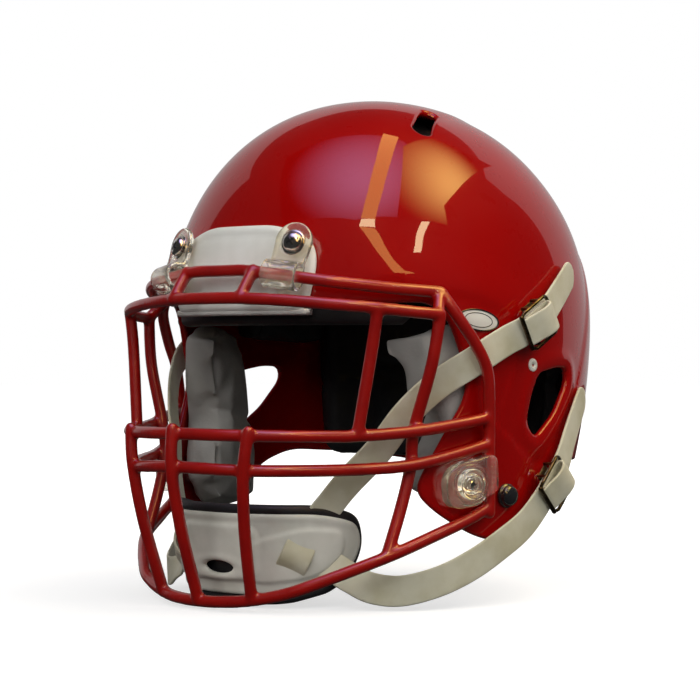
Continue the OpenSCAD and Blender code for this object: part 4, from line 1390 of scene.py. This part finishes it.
def make_foam_rim():
    """Rolled edge of the foam, all round the hard cup."""
    outline = cup_outline(-1.6)
    wing = outline[outline[:, 0] > -139]
    wing = wing[np.argsort(np.arctan2(wing[:, 1] + 106, wing[:, 0] + 139))]
    half = np.column_stack([cup_side_x(wing[:, 0], wing[:, 1]), wing])
    front = []
    for x, y, z in (half[-1], half[0]):
        start = math.degrees(math.atan2((y - CUP_CENTER) / CUP_DEPTH, x / CUP_HALF_W))
        turns = np.linspace(start, -180 - start, 24)[1:-1]
        front.append(cup(np.column_stack([turns, np.full(len(turns), z)])))
    mirrored = half * (-1, 1, 1)
    loop = np.concatenate([half, front[0], mirrored[::-1], front[1][::-1]])
    loop = (loop - (0, CUP_CENTER, 0)) * (0.935, 0.93, 1) + (0, CUP_CENTER, 0)
    keep = np.linalg.norm(loop - np.roll(loop, 1, 0), axis=-1) > 0.8
    rim = mesh_object("chin_foam_rim", *tube(loop[keep], 3.3, 2, 14, closed=True))
    add_modifier(rim, "SMOOTH", factor=0.5, iterations=4)
    apply_modifiers(rim)
    finish_piece(rim, "helmet", "liner_black", padding=0.8)


def make_cup_bands():
    """The stretch of strap that shows on each side of the cup, with its ends sunk in the cup."""
    count = 15
    uv = np.column_stack([np.linspace(321, 312.3, count), np.linspace(-97.5, -114.5, count)])
    out = surface_normals(cup, uv)
    bulge = np.sin(np.linspace(0, math.pi, count))[:, None]
    path = cup(uv) + out * (3.4 * bulge - 1.6)
    for side_name, side in SIDES:
        flip = np.array([side, 1, 1])
        band = ribbon("cup_band_" + side_name, path * flip, out * flip, round_end=False)
        finish_piece(band, "helmet", "strap_vinyl")


# ---- CAD nodes that stay --------------------------------------------------------------

def finish_kept_nodes():
    """Metal for the CAD nodes that stay as they are."""
    for name in ("clip_nuts", "clip_receivers", "button_spring_left", "button_spring_right", "snap_studs"):
        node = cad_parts[name]
        node.data.materials.clear()
        node.data.materials.append(MATERIALS["chrome"])


# ---- camera, light and stage ----------------------------------------------------------

VIEW_AZIMUTH, VIEW_DISTANCE, FOCAL_SHARE = 41 * DEG, 1.222, 2200 / 700
AIM = Vector((0, -0.0417, 0))


def make_camera():
    data = bpy.data.cameras.new("camera")
    data.sensor_width, data.lens = 36, 36 * FOCAL_SHARE
    data.clip_start, data.clip_end = 0.05, 50
    camera = linked_object("camera", data)
    back = Vector((math.sin(VIEW_AZIMUTH), -math.cos(VIEW_AZIMUTH), 0))
    camera.location = AIM + back * VIEW_DISTANCE
    camera.rotation_euler = (-back).to_track_quat("-Z", "Y").to_euler()
    bpy.context.scene.camera = camera


def glowing(name, color, glow, base=(0, 0, 0)):
    made = new_material(name, base, 0.9, Specular_IOR_Level=0.0)
    shader_of(made).inputs["Emission Color"].default_value = (*color, 1)
    shader_of(made).inputs["Emission Strength"].default_value = glow
    return made


def stage_object(name, points, faces, material):
    """Part of the studio: points in metres."""
    mesh = bpy.data.meshes.new(name)
    mesh.from_pydata([tuple(p) for p in points], [], faces)
    item = linked_object(name, mesh)
    mesh.materials.append(material)
    return item


def make_stage():
    """A pale floor whose glow is dimmed near the helmet as painted shade and rises to white further out, and
    a plain white dome round everything.
    """
    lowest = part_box("chin_wire")[0].z - 0.0015
    ring = [(math.cos(a), math.sin(a)) for a in np.arange(96) * math.tau / 96]
    floor_look_with_painted_shade = glowing("floor", (1, 1, 1), 1.0, (0.5, 0.5, 0.5))
    nodes = floor_look_with_painted_shade.node_tree.nodes
    place, length = nodes.new("ShaderNodeTexCoord"), nodes.new("ShaderNodeVectorMath")
    length.operation = "LENGTH"
    # Painted shade: the floor glows less near the helmet, on top of the real contact shadow from the lamps.
    span = nodes.new("ShaderNodeMapRange")
    span.inputs["From Min"].default_value, span.inputs["From Max"].default_value = 0.15, 0.9
    span.inputs["To Min"].default_value, span.inputs["To Max"].default_value = 0.62, 1.0
    join_sockets(floor_look_with_painted_shade, place.outputs["Object"], length.inputs[0])
    join_sockets(floor_look_with_painted_shade, length.outputs["Value"], span.inputs["Value"])
    join_sockets(floor_look_with_painted_shade, span.outputs["Result"], shader_of(floor_look_with_painted_shade).inputs["Emission Strength"])
    floor = stage_object("floor", [(7 * x, 7 * y, lowest) for x, y in ring], [tuple(range(96))], floor_look_with_painted_shade)
    floor.visible_glossy = floor.visible_diffuse = False
    work = bmesh.new()
    bmesh.ops.create_uvsphere(work, u_segments=64, v_segments=32, radius=7.5)
    mesh = bpy.data.meshes.new("backdrop")
    work.to_mesh(mesh)
    work.free()
    dome = linked_object("backdrop", mesh)
    mesh.materials.append(glowing("backdrop", (1, 1, 1), 1.0))
    dome.visible_glossy = dome.visible_diffuse = dome.visible_shadow = dome.visible_transmission = False


CEILING = 1.5
GOLD_CARD = [(0.87, -0.52), (1.27, 0.16), (0.93, 0.19), (0.10, 1.27), (0.11, 1.01), (0.03, 0.60),
             (0.12, 0.19)]
VIOLET_CARD = [(-0.61, -1.25), (0.45, -0.91), (0.99, -0.33), (0.53, 0.17), (0.06, 0.25), (-0.27, 0.06),
               (-0.71, -0.16)]
STREAK_CARDS = [
    [(-0.10, 0.21), (0.13, -0.13), (0.33, -0.48), (0.50, -0.84), (0.67, -0.75), (0.45, -0.38), (0.22, -0.04),
     (0.0, 0.26)],
    [(0.56, -0.98), (0.98, -1.16), (1.57, -1.37), (2.11, -1.49), (2.39, -1.31), (2.38, -0.99), (2.23, -0.95),
     (1.95, -1.11), (1.64, -1.05), (1.17, -0.97), (0.77, -0.87)]]
BRIGHT_CARDS = [[(0.51, -0.85), (0.66, -0.74), (0.76, -0.85), (0.56, -0.98)],
                [(1.08, -0.23), (1.13, -0.11), (1.42, -0.38), (1.35, -0.50)]]
WALL_AZIMUTH, WALL_SPREAD, WALL_STEPS, WALL_AWAY = 221, 60, 24, 3


def make_card(name, corners, color, glow, height=CEILING, center=None, reach=1.0):
    """A glowing ceiling panel that is only reflected. Corners are metres away for each metre of
    height; with a center, the glow fades out at that reach from it."""
    look = glowing(name, color, glow)
    if center:
        nodes = look.node_tree.nodes
        place, gap, span = (nodes.new("ShaderNode" + kind) for kind in ("TexCoord", "VectorMath", "MapRange"))
        gap.operation = "DISTANCE"
        gap.inputs[1].default_value = (center[0] * height, center[1] * height, height)
        span.interpolation_type = "SMOOTHSTEP"
        span.inputs["From Max"].default_value = reach * height
        span.inputs["To Min"].default_value, span.inputs["To Max"].default_value = glow, 0
        join_sockets(look, place.outputs["Object"], gap.inputs[0])
        join_sockets(look, gap.outputs["Value"], span.inputs["Value"])
        join_sockets(look, span.outputs["Result"], shader_of(look).inputs["Emission Strength"])
    panel = stage_object(name, [(x * height, y * height, height) for x, y in corners],
                         [tuple(range(len(corners)))], look)
    panel.visible_camera = panel.visible_diffuse = panel.visible_shadow = False


def soft_light(name, azimuth, elevation, distance, size, power, color=(1, 1, 1)):
    """A square light facing the helmet that leaves no reflection. Azimuth 0 is in front of the face."""
    data = bpy.data.lights.new(name, "AREA")
    data.size, data.energy, data.color = size, power, color
    lamp = linked_object(name, data)
    a, e = azimuth * DEG, elevation * DEG
    back = Vector((math.sin(a) * math.cos(e), -math.cos(a) * math.cos(e), math.sin(e)))
    lamp.location = back * distance
    lamp.rotation_euler = (-back).to_track_quat("-Z", "Y").to_euler()
    lamp.visible_glossy = False


def make_lights():
    world = bpy.data.worlds.new("world")
    bpy.context.scene.world = world
    world.use_nodes = True
    world.node_tree.nodes["Background"].inputs["Color"].default_value = (0.03, 0.03, 0.03, 1)
    make_card("gold_card", GOLD_CARD, (1, 0.72, 0.20), 8.5, center=(0.68, 0.36), reach=0.75)
    make_card("violet_card", VIOLET_CARD, (0.62, 0.55, 1), 3.2, CEILING * 1.01, center=(0.22, -0.40),
              reach=0.85)
    for number, corners in enumerate(STREAK_CARDS):
        make_card(f"streak_card_{number}", corners, (1, 0.55, 0.16), 5.5, CEILING * 0.99)
    for number, corners in enumerate(BRIGHT_CARDS):
        make_card(f"bright_card_{number}", corners, (1, 0.85, 0.5), 13, CEILING * 0.98)
    soft_light("top_light", 125, 55, 2.0, 1.4, 24, (1, 0.87, 0.70))
    turns = np.radians(np.linspace(WALL_AZIMUTH - WALL_SPREAD, WALL_AZIMUTH + WALL_SPREAD, WALL_STEPS + 1))
    rim = [(WALL_AWAY * math.sin(t), -WALL_AWAY * math.cos(t), z) for z in (-0.13, 2.6) for t in turns]
    panes = [(k, k + 1, k + WALL_STEPS + 2, k + WALL_STEPS + 1) for k in range(WALL_STEPS)]
    wall = stage_object("rear_wall", rim, panes, glowing("rear_wall", (1, 0.95, 0.95), 0.45))
    wall.visible_camera = False
    for name, azimuth, elevation, power in (("front_fill", 20, 30, 20), ("right_fill", 80, 25, 12),
                                            ("left_fill", -60, 25, 8), ("rear_fill", 190, 35, 14)):
        soft_light(name, azimuth, elevation, 2.0, 1.6, power)
    bpy.context.scene.view_settings.view_transform = "Standard"


for make in (make_camera, make_shell, make_brow_bumper, make_rear_bumper, make_badges, make_valves,
             make_liner, make_brow_foam, make_corner_pads, make_jaw_pads, make_cage, make_top_clips,
             make_screws, make_side_clips, make_straps, make_snaps, make_spare_studs, make_chin_cup,
             make_chin_pad, make_foam_rim, make_cup_bands, finish_kept_nodes, make_stage, make_lights):
    make()
